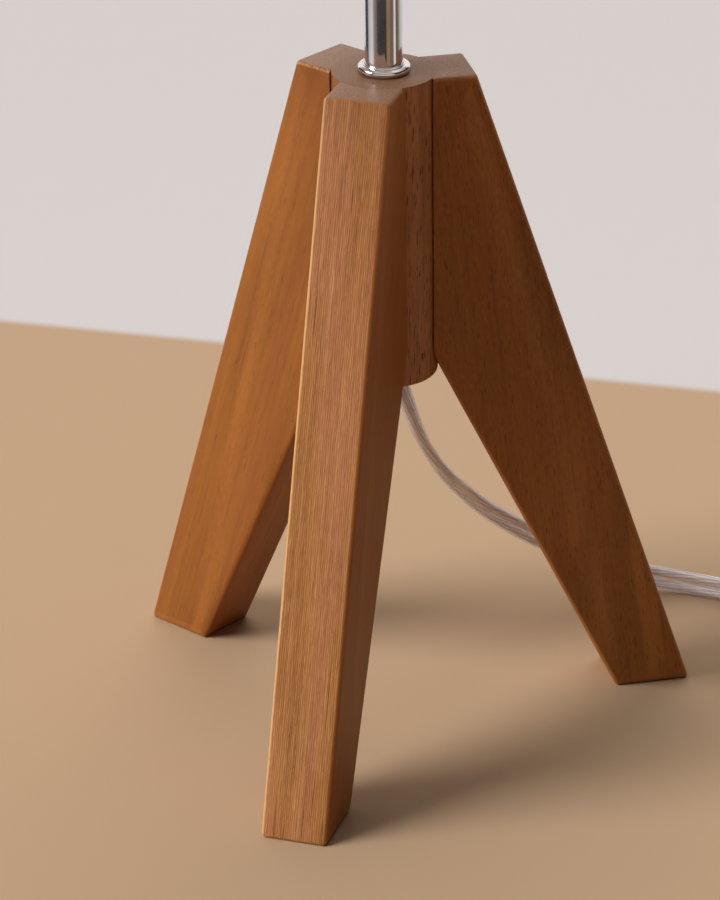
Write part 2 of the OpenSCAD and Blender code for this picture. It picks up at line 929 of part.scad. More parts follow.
// The tail lies over from its edge onto its flat on the way to the plug
module cord_tail() {
    route = concat([coil_end, coil_end + straight * way_out], tail_route);
    n = len(route);
    color(clear_grey)
        flat_tube(route,
                  [for (i = [0 : n - 1])
                      let (t = heading(route, i), up = on_edge(t), a = 90 * eased(i / (n - 1)))
                          cos(a) * up + sin(a) * cross(t, up)],
                  tube_sides);
}

// ---- Switch

module at_switch() {
    translate([switch_at[0], switch_at[1], 0])
        rotate([0, 0, switch_turn])
            children();
}

// The housing's plan, drawn in by a margin: slim ends and a full middle
function switch_plan(inset) =
    let (steps = 14,
         half = switch_len / 2 - inset,
         side = [for (i = [0 : steps])
             let (x = 2 * i / steps - 1, full = pow(cos(90 * x), 0.6))
                 [x * half, switch_end_w / 2 - inset + (switch_w - switch_end_w) / 2 * full]])
        concat(side, [for (i = [steps : -1 : 0]) [side[i][0], -side[i][1]]]);

module switch_screw_holes(d, z, h) {
    for (side = [-1, 1])
        translate([side * screw_x, -side * screw_y, z])
            cylinder(h = h, d = d, $fn = 32);
}

module switch_base() {
    edge = 0.8;
    color(white)
        at_switch()
            difference() {
                union() {
                    difference() {
                        hull() {
                            linear_extrude(eps)
                                polygon(switch_plan(edge));
                            translate([0, 0, edge])
                                linear_extrude(split_z - edge)
                                    polygon(switch_plan(0));
                        }
                        translate([0, 0, switch_floor])
                            linear_extrude(split_z)
                                polygon(switch_plan(switch_wall));
                    }
                    switch_screw_holes(2 * boss_r, eps, split_z - eps);
                }
                for (side = [-1, 1])
                    translate([side * switch_len / 2, 0, switch_floor + split_z / 2])
                        cube([2 * switch_wall + 2, cord_t + 2 * cord_gap, split_z], center = true);
                switch_screw_holes(screw_d + 2 * slip, -1, split_z + 2);
                switch_screw_holes(screw_head_d + 2 * slip, -1, 1 + screw_head_h + slip);
            }
}

module switch_cover() {
    edge = 2.4;
    top_t = 1.8;
    opening_x = rocker_len + 2 * rocker_gap + 0.8;
    opening_y = rocker_w + 2 * rocker_gap;
    cheek = 2;
    color(white)
        at_switch()
            difference() {
                union() {
                    difference() {
                        hull() {
                            translate([0, 0, split_z + slip])
                                linear_extrude(switch_h - edge - split_z - slip)
                                    polygon(switch_plan(0));
                            translate([0, 0, switch_h - edge * 0.3])
                                linear_extrude(eps)
                                    polygon(switch_plan(edge * 0.3));
                            translate([0, 0, switch_h - eps])
                                linear_extrude(eps)
                                    polygon(switch_plan(edge));
                        }
                        translate([0, 0, split_z - 1])
                            linear_extrude(switch_h - top_t - split_z + 1)
                                polygon(switch_plan(switch_wall));
                    }
                    switch_screw_holes(2 * boss_r, split_z + slip, switch_h - 1 - split_z - slip);
                    translate([-opening_x / 2 + 2, -opening_y / 2 - cheek, rocker_z - 4])
                        cube([opening_x - 4, opening_y + 2 * cheek, switch_h - 1 - rocker_z + 4]);
                }
                translate([-opening_x / 2, -opening_y / 2, split_z - 1])
                    cube([opening_x, opening_y, switch_h]);
                translate([0, 0, rocker_z])
                    rotate([90, 0, 0])
                        cylinder(h = opening_y + 2 * (pin_in_wall + pin_gap), d = pin_d + 2 * pin_gap,
                                 center = true);
                switch_screw_holes(screw_d + 2 * slip, split_z - 1, 6);
            }
}

// The rocker rests on its off end, so it is drawn tilted
module switch_rocker() {
    color([0.95, 0.95, 0.94])
        at_switch()
            translate([0, 0, rocker_z])
                rotate([0, -rocker_tilt, 0]) {
                    rotate([90, 0, 0])
                        linear_extrude(rocker_w, center = true)
                            polygon([
                                [-rocker_len / 2, -rocker_low], [rocker_len / 2, -rocker_low],
                                [rocker_len / 2, rocker_high], [0, rocker_dip],
                                [-rocker_len / 2, rocker_high]]);
                    rotate([90, 0, 0])
                        cylinder(h = rocker_w + 2 * (rocker_gap + pin_in_wall), d = pin_d, center = true);
                }
}

// Two brass strips that stand on the floor under the rocker
module switch_contacts() {
    strip_t = 0.8;
    strip_w = 4;
    reach = 6;
    top = rocker_z - rocker_low / cos(rocker_tilt) - reach * tan(rocker_tilt) - 0.5;
    color(brass)
        at_switch()
            for (side = [-1, 1])
                rotate([90, 0, side > 0 ? 0 : 180])
                    linear_extrude(strip_w, center = true)
                        polygon([
                            [4, switch_floor], [14, switch_floor], [14, switch_floor + strip_t],
                            [reach + strip_t, switch_floor + strip_t], [reach + strip_t, top],
                            [reach - 1, top], [reach - 1, top - strip_t], [reach, top - strip_t],
                            [reach, switch_floor + strip_t], [4, switch_floor + strip_t]]);
}

module switch_screws() {
    color(steel)
        at_switch()
            difference() {
                union() {
                    switch_screw_holes(screw_head_d, 0.1, screw_head_h - 0.1);
                    switch_screw_holes(screw_d, 0.5, split_z + 4);
                }
                for (side = [-1, 1])
                    translate([side * screw_x, -side * screw_y, 0.1]) {
                        cube([3, 0.6, 0.8], center = true);
                        cube([0.6, 3, 0.8], center = true);
                    }
            }
}

// ---- Plug

module at_plug() {
    translate([plug_at[0], plug_at[1], plug_t / 2])
        rotate([0, 0, plug_turn])
            children();
}

// A slab of the plug across the cord, with round edges
module plug_slab(x, width, thick, round_r) {
    translate([x, 0, 0])
        rotate([90, 0, 90])
            linear_extrude(eps)
                for (y = [-1, 1], z = [-1, 1])
                    translate([y * (width / 2 - round_r), z * (thick / 2 - round_r)])
                        circle(round_r, $fn = 16);
}

module blade_pockets(margin) {
    for (side = [-1, 1])
        translate([relief_len + plug_len - blade_in, side * blade_gap / 2, 0])
            translate([-margin, -blade_t / 2 - margin, -blade_w / 2 - margin])
                cube([blade_in + 2 * margin + 1, blade_t + 2 * margin, blade_w + 2 * margin]);
}

// The moulded plug: a tapered relief with grooves, a grip that widens, and a flat front
module plug_body() {
    grooves = 3;
    groove_w = 1.6;
    widest = relief_len + plug_len * 0.68;
    front = relief_len + plug_len;
    color(white)
        at_plug()
            difference() {
                union() {
                    hull() {
                        plug_slab(0, cord_w + 2.4, cord_t + 3, 2);
                        plug_slab(relief_len + 2, plug_w * 0.62, plug_t * 0.62, 2);
                    }
                    hull() {
                        plug_slab(relief_len, plug_w * 0.72, plug_t * 0.72, 3);
                        plug_slab(widest, plug_w, plug_t, 3);
                        plug_slab(front - 1, plug_w, plug_t, 3);
                        plug_slab(front - eps, plug_w - 2, plug_t - 2, 2);
                    }
                }
                for (i = [1 : grooves], side = [-1, 1])
                    translate([relief_len * (i - 0.2) / (grooves + 0.6), side * (cord_w / 2 + 6.2), 0])
                        cube([groove_w, 10, plug_t + 1], center = true);
                blade_pockets(slip);
            }
}

module plug_blades() {
    color(brass)
        at_plug()
            for (side = [-1, 1])
                translate([relief_len + plug_len - blade_in, side * blade_gap / 2, 0])
                    rotate([90, 0, 0])
                        linear_extrude(blade_t, center = true)
                            difference() {
                                translate([0, -blade_w / 2])
                                    union() {
                                        square([blade_in + blade_len - 2, blade_w]);
                                        translate([0, 1.2])
                                            square([blade_in + blade_len, blade_w - 2.4]);
                                    }
                                translate([blade_in + blade_len - 4.5, 0])
                                    circle(d = blade_hole_d, $fn = 32);
                            }
}

hub();
leg_front();
leg_right();
leg_left();
leg_dowels();
stem_tube();
stem_collar();
stem_washer();
stem_nut();
cord_bush();
inner_cord();
holder_cap();
grub_screw();
holder_shell();
terminal_block();
terminals();
terminal_screws();
centre_contact();
screw_shell();
core_wires();
clamp_ring();
shade_carrier();
shade_bottom_ring();
shade_top_ring();
shade_cloth();
hem_bottom();
hem_top();
bulb_globe();
bulb_collar();
bulb_cap();
bulb_contact();
cord_lead();
cord_link();
cord_coil();
cord_tail();
switch_base();
switch_cover();
switch_rocker();
switch_contacts();
switch_screws();
plug_body();
plug_blades();
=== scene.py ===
from math import acos, atan, ceil, cos, degrees, hypot, pi, radians, sin, sqrt, tan
import bpy
import bmesh
from mathutils import Matrix, Vector


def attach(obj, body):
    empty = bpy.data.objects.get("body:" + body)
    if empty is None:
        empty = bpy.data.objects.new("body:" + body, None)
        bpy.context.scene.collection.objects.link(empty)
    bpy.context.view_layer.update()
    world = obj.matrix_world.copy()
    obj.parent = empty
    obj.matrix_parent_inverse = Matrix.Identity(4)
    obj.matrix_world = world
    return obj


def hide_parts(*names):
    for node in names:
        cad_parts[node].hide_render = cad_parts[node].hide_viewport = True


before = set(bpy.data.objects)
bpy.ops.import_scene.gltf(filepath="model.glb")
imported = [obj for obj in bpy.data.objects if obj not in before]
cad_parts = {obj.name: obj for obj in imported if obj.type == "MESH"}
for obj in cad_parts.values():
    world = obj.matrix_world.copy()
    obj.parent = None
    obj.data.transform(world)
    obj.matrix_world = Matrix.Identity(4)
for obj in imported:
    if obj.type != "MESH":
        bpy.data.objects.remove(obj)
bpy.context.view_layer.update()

# Tripod table lamp: wooden base, chromed stem, drum shade, bulb, clear flat cord, switch and plug.
# The scene is in metres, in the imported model's own frame.
# Settings are in millimetres and degrees unless they say m.

mm = 0.001


class Setting(dict):
    # a dictionary whose values are also read as setting.name
    __getattr__ = dict.__getitem__


def spot(x, y, z):
    # a point given in mm
    return Vector((x, y, z)) * mm


def shown(name, data):
    # a new object in the scene
    piece = bpy.data.objects.new(name, data)
    bpy.context.scene.collection.objects.link(piece)
    return piece


def skin(name, points, faces, sharp=38, marks=None):
    # a mesh from points and faces: normals turned outwards, smooth but for its sharp edges
    mesh = bpy.data.meshes.new(name)
    mesh.from_pydata([tuple(p) for p in points], [], faces)
    work = bmesh.new()
    work.from_mesh(mesh)
    bmesh.ops.recalc_face_normals(work, faces=work.faces)
    for face in work.faces:
        face.smooth = True
    for edge in work.edges:
        edge.smooth = len(edge.link_faces) == 2 and edge.calc_face_angle() < radians(sharp)
    work.to_mesh(mesh)
    work.free()
    for key, values in (marks or {}).items():
        layer = mesh.attributes.new(key, "FLOAT", "POINT")
        layer.data.foreach_set("value", values)
    return shown(name, mesh)


def rows(rings, around=True, ends=(True, True), looped=False):
    # points and faces of rings of equal length, joined one to the next
    size, total = len(rings[0]), len(rings) * len(rings[0])
    points = [p for ring in rings for p in ring]
    faces = []
    for i in range(len(rings) if looped else len(rings) - 1):
        for k in range(size if around else size - 1):
            a, b = i * size + k, i * size + (k + 1) % size
            faces.append((a, b, (b + size) % total, (a + size) % total))
    if ends[0]:
        faces.append(tuple(range(size)))
    if ends[1]:
        faces.append(tuple(range(total - size, total)))
    return points, faces


def loft(name, rings, ends=(True, True), sharp=38, marks=None):
    points, faces = rows(rings, True, ends)
    return skin(name, points, faces, sharp, marks)


def rounded(corners, radii, steps=5):
    # a closed outline in the plane, with its corners rounded
    line = []
    for i, corner in enumerate(corners):
        here = Vector(corner)
        before = Vector(corners[i - 1]) - here
        after = Vector(corners[(i + 1) % len(corners)]) - here
        radius = radii[i] if isinstance(radii, (list, tuple)) else radii
        turn = before.angle(after)
        reach = radius / tan(turn / 2) if radius > 0 else 0
        if reach <= 0 or pi - turn < 0.02:
            line.append(tuple(here))
            continue
        start, stop = here + before.normalized() * reach, here + after.normalized() * reach
        centre = here + (before.normalized() + after.normalized()).normalized() * radius / sin(turn / 2)
        first, sweep = start - centre, (start - centre).angle_signed(stop - centre)
        for k in range(steps + 1):
            a = -sweep * k / steps
            line.append((centre.x + first.x * cos(a) - first.y * sin(a),
                         centre.y + first.x * sin(a) + first.y * cos(a)))
    return line


def arc(x, y, radius, first, last, steps):
    # points round a centre, from one angle to the other
    turns = [radians(first + (last - first) * k / steps) for k in range(steps + 1)]
    return [(x + radius * cos(a), y + radius * sin(a)) for a in turns]


def lathe(name, outline, steps=96, height=0, thread=None, sharp=38, marks=None, closed=True):
    # an outline of (radius, height) in mm, turned round the axis; a thread moves it in and out
    rings = []
    for a in [2 * pi * i / steps for i in range(steps)]:
        reach = [r + (thread(a, r, z) if thread else 0) for r, z in outline]
        rings.append([spot(out * cos(a), out * sin(a), z + height) for out, (r, z) in zip(reach, outline)])
    marks = {key: values * steps for key, values in (marks or {}).items()}
    piece = skin(name, *rows(rings, closed, (False, False), True), sharp, marks)
    weld = bmesh.new()
    weld.from_mesh(piece.data)
    bmesh.ops.remove_doubles(weld, verts=weld.verts, dist=1e-7)
    weld.to_mesh(piece.data)
    weld.free()
    return piece


def closer(outline, gap, whole=ceil):
    # more points along an outline's straight runs
    line = []
    for a, b in zip(outline, outline[1:] + outline[:1]):
        count = max(1, whole((Vector(b) - Vector(a)).length / gap))
        line += [tuple(Vector(a).lerp(Vector(b), k / count)) for k in range(count)]
    return line


def cover(piece, finish):
    piece.data.materials.clear()
    piece.data.materials.append(finish)


def place(piece, body, finish, slot, *nodes):
    # finish a piece, let it ride, and let it stand for its nodes
    cover(piece, finish)
    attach(piece, body)
    if nodes:
        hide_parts(*nodes)
    return piece


def paint(red, green, blue):
    # a colour as seen on a screen, 0 to 255, made linear
    line = [c / 255 for c in (red, green, blue)]
    return tuple(c / 12.92 if c <= 0.04045 else ((c + 0.055) / 1.055) ** 2.4 for c in line) + (1,)


class Wire:
    # an output socket that can be added, multiplied and so on

    def __init__(self, finish, socket):
        self.finish, self.socket = finish, socket

    def maths(self, operation, *others):
        return self.finish.maths(operation, self, *others)

    def __add__(self, other):
        return self.maths("ADD", other)

    def __sub__(self, other):
        return self.maths("SUBTRACT", other)

    def __rsub__(self, other):
        return self.finish.maths("SUBTRACT", other, self)

    def __mul__(self, other):
        return self.maths("MULTIPLY", other)

    def __truediv__(self, other):
        return self.maths("DIVIDE", other)

    def __neg__(self):
        return self.maths("MULTIPLY", -1)

    def __abs__(self):
        return self.maths("ABSOLUTE")

    def along(self, axis):
        return self.finish.add("ShaderNodeSeparateXYZ", {}, {"Vector": self}, axis)

    __radd__ = __add__


class Finish:
    # one material, with its nodes added by plain calls

    def __init__(self, name, **fixed):
        self.material = bpy.data.materials.new(name)
        self.material.use_nodes = True
        self.tree = self.material.node_tree
        self.shader = next(n for n in self.tree.nodes if n.type == "BSDF_PRINCIPLED")
        self.wear(**fixed)

    def fill(self, socket, value):
        # a wire is linked, and anything else is set
        if isinstance(value, Wire):
            self.tree.links.new(value.socket, socket)
        else:
            socket.default_value = value

    def add(self, kind, settings, sockets, output=0):
        node = self.tree.nodes.new(kind)
        for key, value in settings.items():
            if key == "stops":
                for i, (at, colour) in enumerate(value):
                    stop = node.color_ramp.elements[i] if i < 2 else node.color_ramp.elements.new(at)
                    stop.position, stop.color = at, colour
            else:
                setattr(node, key, value)
        for key, value in sockets.items():
            self.fill(node.inputs[key], value)
        return Wire(self, node.outputs[output])

    def maths(self, operation, *values):
        return self.add("ShaderNodeMath", {"operation": operation}, dict(enumerate(values)))

    def here(self, output="Object"):
        return self.add("ShaderNodeTexCoord", {}, {}, output)

    def hereInMm(self):
        return self.laid(self.here(), (1000, 1000, 1000))

    def mark(self, name):
        return self.add("ShaderNodeAttribute", {"attribute_name": name}, {}, "Fac")

    def laid(self, vector, scale=(1, 1, 1), turn=(0, 0, 0), move=(0, 0, 0)):
        sockets = {"Vector": vector, "Scale": scale, "Rotation": turn, "Location": move}
        return self.add("ShaderNodeMapping", {}, sockets)

    def noise(self, vector, size, detail=2, rough=0.5, move=(0, 0, 0), warp=0):
        # size is how far one blotch reaches, in the vector's own units: (x, y, z), or one value for all
        size = size if isinstance(size, tuple) else (size,) * 3
        stretched = self.laid(vector, tuple(1 / s for s in size), move=move)
        sockets = {"Vector": stretched, "Scale": 1, "Detail": detail, "Roughness": rough, "Distortion": warp}
        return self.add("ShaderNodeTexNoise", {}, sockets, 0)

    def step(self, value, low, high):
        # from 0 at low to 1 at high, soft at both ends
        sockets = {"Value": value, "From Min": low, "From Max": high}
        return self.add("ShaderNodeMapRange", {"interpolation_type": "SMOOTHSTEP"}, sockets)

    def blend(self, factor, first, second):
        # from one colour to another: each is a wire, or red, green and blue as seen on a screen
        first, second = (c if isinstance(c, Wire) else paint(*c) for c in (first, second))
        return self.add("ShaderNodeMix", {"data_type": "RGBA"}, {0: factor, 6: first, 7: second}, 2)

    def over(self, colour, *layers):
        # tones laid over a colour one after another, each by its own share
        for share, tone in layers:
            colour = self.blend(share, colour, tone)
        return colour

    def ramp(self, value, stops):
        return self.add("ShaderNodeValToRGB", {"stops": stops}, {"Fac": value}, "Color")

    def bump(self, height, deep):
        # deep is how high a step of one stands, in mm
        return self.add("ShaderNodeBump", {}, {"Height": height, "Distance": deep * mm, "Strength": 1})

    def wear(self, **sockets):
        for key, value in sockets.items():
            self.fill(self.shader.inputs[key.replace("_", " ")], value)
        return self.material


print("camera")
cameraSetting = Setting(
    place=(318.17, -985.56, 567.20),
    azimuth=18.299,
    elevation=25.437,
    roll=-0.721,
    lens=172.03,
)


def makeCamera(setting):
    azimuth, elevation, roll = (radians(setting[key]) for key in ("azimuth", "elevation", "roll"))
    back = Vector((sin(azimuth) * cos(elevation), -cos(azimuth) * cos(elevation), sin(elevation)))
    right = Vector((cos(azimuth), sin(azimuth), 0))
    up = back.cross(right)
    across = cos(roll) * right + sin(roll) * up
    over = cos(roll) * up - sin(roll) * right
    lens = bpy.data.cameras.new("camera")
    lens.lens, lens.sensor_width, lens.sensor_fit = setting.lens, 36, "AUTO"
    camera = shown("camera", lens)
    turn = Matrix((across, over, back)).transposed().to_4x4()
    camera.matrix_world = Matrix.Translation(spot(*setting.place)) @ turn
    bpy.context.scene.camera = camera


makeCamera(cameraSetting)


print("cord")
cordSetting = Setting(
    length=1.83,  # m
    width=7,
    lobe=1.7,  # radius of each half
    waist=1.05,  # half the thickness between the halves
    core=1.14,  # radius of each bundle of strands, as the clear plastic enlarges it
    lay=60,  # the strands go round each other once in this length
    strands=7,  # ridges round a bundle
    step=0.0022,  # m
    coilSteps=108,  # to a turn
)
# the route's points in m: from the bush to the switch, on to the coil, and from the coil to the plug
leadRoute = [
    (0, 0, 0.11), (0, 0, 0.106), (0.0006, 0.001, 0.101), (0.002, 0.0032, 0.095),
    (0.0035, 0.0076, 0.0848), (0.0046, 0.0133, 0.0746), (0.006, 0.0204, 0.0646),
    (0.0078, 0.0284, 0.0552), (0.0103, 0.0372, 0.0463), (0.0138, 0.0464, 0.0372),
    (0.019, 0.0564, 0.028), (0.026, 0.065, 0.0198), (0.035, 0.0725, 0.0128),
    (0.045, 0.0778, 0.0076), (0.0552, 0.081, 0.0047), (0.065, 0.0822, 0.0036),
    (0.074, 0.0814, 0.0035), (0.081, 0.0802, 0.004), (0.087, 0.0791, 0.00475), (0.092, 0.0782, 0.00475),
]
linkRoute = [
    (0.1372, 0.0702, 0.00475), (0.1432, 0.0692, 0.00475), (0.15, 0.068, 0.0044),
    (0.158, 0.0665, 0.0037), (0.164, 0.0654, 0.0035),
]
tailRoute = [
    (0.2138, -0.006, 0.0107), (0.2122, -0.013, 0.0097), (0.21, -0.0205, 0.0086),
    (0.2062, -0.0285, 0.0078), (0.2025, -0.0345, 0.0075), (0.1975, -0.041, 0.0075),
]
leadTwist = [(0, 138), (6, 90), (8, 68), (14, 28), (19, 28)]  # (point on the route, turn of the cord's width)
twistFrom = Vector((0.28, -0.86, 0.43))
coilSetting = Setting(
    centre=(0.173, 0.0178),  # m, as the rest of the coil
    begin=80,
    outside=0.0454,
    pitch=0.0044,
    layer=0.0076,
    turnsIn=3,
    turnsFlip=0.5,
    turnsOut=2.75,
)


def eased(x):
    x = min(max(x, 0), 1)
    return x * x * (3 - 2 * x)


def coilPoint(u):
    setting = coilSetting
    inside = setting.outside - setting.pitch * setting.turnsIn
    v = u - setting.turnsIn
    flip = setting.turnsFlip
    if v <= 0:
        r = setting.outside - setting.pitch * u
    elif v < flip:
        r = inside - setting.pitch * v * (1 - v / flip)
    else:
        r = inside + setting.pitch * (v - flip)
    a = radians(setting.begin - 360 * u)
    z = cordSetting.width * mm / 2 + setting.layer * eased(v / flip)
    return Vector((setting.centre[0] + r * cos(a), setting.centre[1] + r * sin(a), z))


def coilWay(u):
    a = radians(coilSetting.begin - 360 * u)
    return Vector((sin(a), -cos(a), 0))


def smoothLine(points, step):
    # a curve through the points, evenly spaced, with each sample's place in the list
    points = [Vector(p) for p in points]
    ends = [2 * points[0] - points[1]] + points + [2 * points[-1] - points[-2]]
    line = []
    for i in range(1, len(ends) - 2):
        p0, p1, p2, p3 = ends[i - 1:i + 3]
        t1 = (p1 - p0).length ** 0.5
        t2 = t1 + (p2 - p1).length ** 0.5
        t3 = t2 + (p3 - p2).length ** 0.5
        count = max(2, round((p2 - p1).length / step))
        for k in range(count):
            t = t1 + (t2 - t1) * k / count
            a1 = p0.lerp(p1, t / t1)
            a2 = p1.lerp(p2, (t - t1) / (t2 - t1))
            a3 = p2.lerp(p3, (t - t2) / (t3 - t2))
            b1, b2 = a1.lerp(a2, t / t2), a2.lerp(a3, (t - t1) / (t3 - t1))
            line.append((b1.lerp(b2, (t - t1) / (t2 - t1)), i - 1 + k / count))
    line.append((points[-1], len(points) - 1))
    return line


def cordSamples():
    # the cord's middle line from bush to plug, with the direction of its width at each point
    setting = coilSetting
    turns = setting.turnsIn + setting.turnsFlip + setting.turnsOut
    lead = smoothLine(leadRoute, cordSetting.step)
    start, end = coilPoint(0), coilPoint(turns)
    linkEnd = start - cordSetting.width * mm * coilWay(0)
    link = smoothLine([leadRoute[-1]] + linkRoute + [linkEnd - 0.004 * coilWay(0), linkEnd], cordSetting.step)
    steps = round(turns * cordSetting.coilSteps)
    coil = [(coilPoint(turns * i / steps), i) for i in range(steps + 1)]
    tailStart = end + cordSetting.width * mm * coilWay(turns)
    tail = smoothLine([tailStart, tailStart + 0.004 * coilWay(turns)] + tailRoute, cordSetting.step)
    plugWay = (Vector(tailRoute[-1]) - Vector(tailRoute[-2])).normalized()
    inside = [(Vector(tailRoute[-1]) + plugWay * d * mm, 0) for d in (2, 4, 6)]
    samples = [(p, "lead", at) for p, at in lead] + [(p, "edge", at) for p, at in link[1:]]
    samples += [(start.lerp(linkEnd, 0.6), "edge", 0), (start.lerp(linkEnd, 0.3), "edge", 0)]
    samples += [(p, "edge", at) for p, at in coil]
    samples += [(end.lerp(tailStart, 0.33), "edge", 0), (end.lerp(tailStart, 0.66), "edge", 0)]
    samples += [(p, "tail", i / (len(tail) - 1)) for i, (p, at) in enumerate(tail)]
    samples += [(p, "tail", 1) for p, at in inside]
    line, ways, headings = [p for p, part, at in samples], [], []
    for i, (part, at) in enumerate(s[1:] for s in samples):
        way = (line[min(i + 1, len(line) - 1)] - line[max(i - 1, 0)]).normalized()
        if part == "lead":
            for (a, first), (b, last) in zip(leadTwist, leadTwist[1:]):
                if a <= at <= b:
                    twist = radians(first + (last - first) * (at - a) / (b - a))
            side = twistFrom.cross(way).normalized()
            width = cos(twist) * side + sin(twist) * way.cross(side)
        else:
            up = (Vector((0, 0, 1)) - way * way.z).normalized()
            lean = radians(90) * eased(at) if part == "tail" else 0
            width = cos(lean) * up + sin(lean) * way.cross(up)
        ways.append(width)
        headings.append(way)
    return line, ways, headings


cordLine, cordWays, cordHeadings = cordSamples()


def cordSection():
    # two round halves with a groove between, (along the width, along the thickness) in mm
    setting = cordSetting
    half = arc(setting.width / 2 - setting.lobe, 0, setting.lobe, -130, 130, 10)
    return half + [(0, setting.waist)] + [(-x, -y) for x, y in half] + [(0, -setting.waist)]


def sweep(name, section):
    # a section carried along the cord, marked with its own place for the finishes
    rings, run, far = [], 0, []
    for i, (point, width, way) in enumerate(zip(cordLine, cordWays, cordHeadings)):
        side = way.cross(width)
        rings.append([point + (width * x + side * y) * mm for x, y in section])
        run += (point - cordLine[i - 1]).length if i else 0
        far += [run] * len(section)
    centre = sum(x for x, y in section) / len(section)
    marks = {"cordAlong": far, "strandX": [x - centre for x, y in section] * len(cordLine),
             "strandY": [y for x, y in section] * len(cordLine)}
    return loft(name, rings, sharp=60, marks=marks)


def makeSheath():
    # clear plastic: nearly see-through over the strands, milkier at the edges and in the groove
    clear = Finish("clearSheath", IOR=1.46, Coat_Roughness=0.08)
    sockets = {"X": clear.mark("strandX"), "Y": clear.mark("strandY"), "Z": clear.mark("cordAlong") / mm}
    along = clear.add("ShaderNodeCombineXYZ", {}, sockets)
    line = clear.noise(along, (0.4, 0.4, 16), warp=0.2)
    offCore = abs(abs(clear.mark("strandX")) - (cordSetting.width / 2 - cordSetting.lobe))
    cloud = clear.noise(clear.here(), 0.004, detail=3)
    ripple = clear.noise(clear.here(), 0.0014)
    edge = clear.step(offCore, 0.85, 1.35)
    return clear.wear(
        Base_Color=clear.blend(clear.step(line, 0.36, 0.64), (186, 176, 180), (250, 244, 252)),
        Roughness=0.08 + cloud * 0.1,
        Coat_Weight=0.3 + cloud * 0.3,
        Alpha=0.2 + edge * 0.28 + clear.step(line, 0.45, 0.7) * 0.14,
        Normal=clear.bump(ripple, 0.02))


def makeStrands(name, dark, light):
    # fine wires laid round each other: a spiral of ridges from the cord's own marks
    strands = Finish(name, Metallic=0.15)
    turn = strands.maths("ARCTAN2", strands.mark("strandY"), strands.mark("strandX"))
    run = strands.mark("cordAlong") * (2 * pi * cordSetting.strands / (cordSetting.lay * mm))
    ridge = (turn * cordSetting.strands + run).maths("SINE") * 0.5 + 0.5
    cloud = strands.noise(strands.here(), 0.003, detail=3)
    tone = strands.step(ridge * 0.6 + cloud * 0.6, 0.25, 0.85)
    return strands.wear(Base_Color=strands.blend(tone, dark, light), Roughness=0.3 + cloud * 0.2,
                        Normal=strands.bump(ridge, 0.08))


def makeCord():
    setting = cordSetting
    cord = sweep("cordSheath", cordSection())
    place(cord, "lamp", makeSheath(), "clear_sheath", "cord_lead", "cord_link", "cord_coil", "cord_tail")
    middle = setting.width / 2 - setting.lobe
    cores = []
    for name, side, finish in (
            ("cordCopper", 1, makeStrands("copperStrands", (200, 178, 168), (255, 248, 242))),
            ("cordTinned", -1, makeStrands("tinnedStrands", (202, 198, 204), (255, 253, 255)))):
        core = sweep(name, arc(side * middle, 0, setting.core, 0, 324, 9))
        cores.append(place(core, "lamp", finish, "clear_sheath"))
    return cord, cores


cord, cordCores = makeCord()


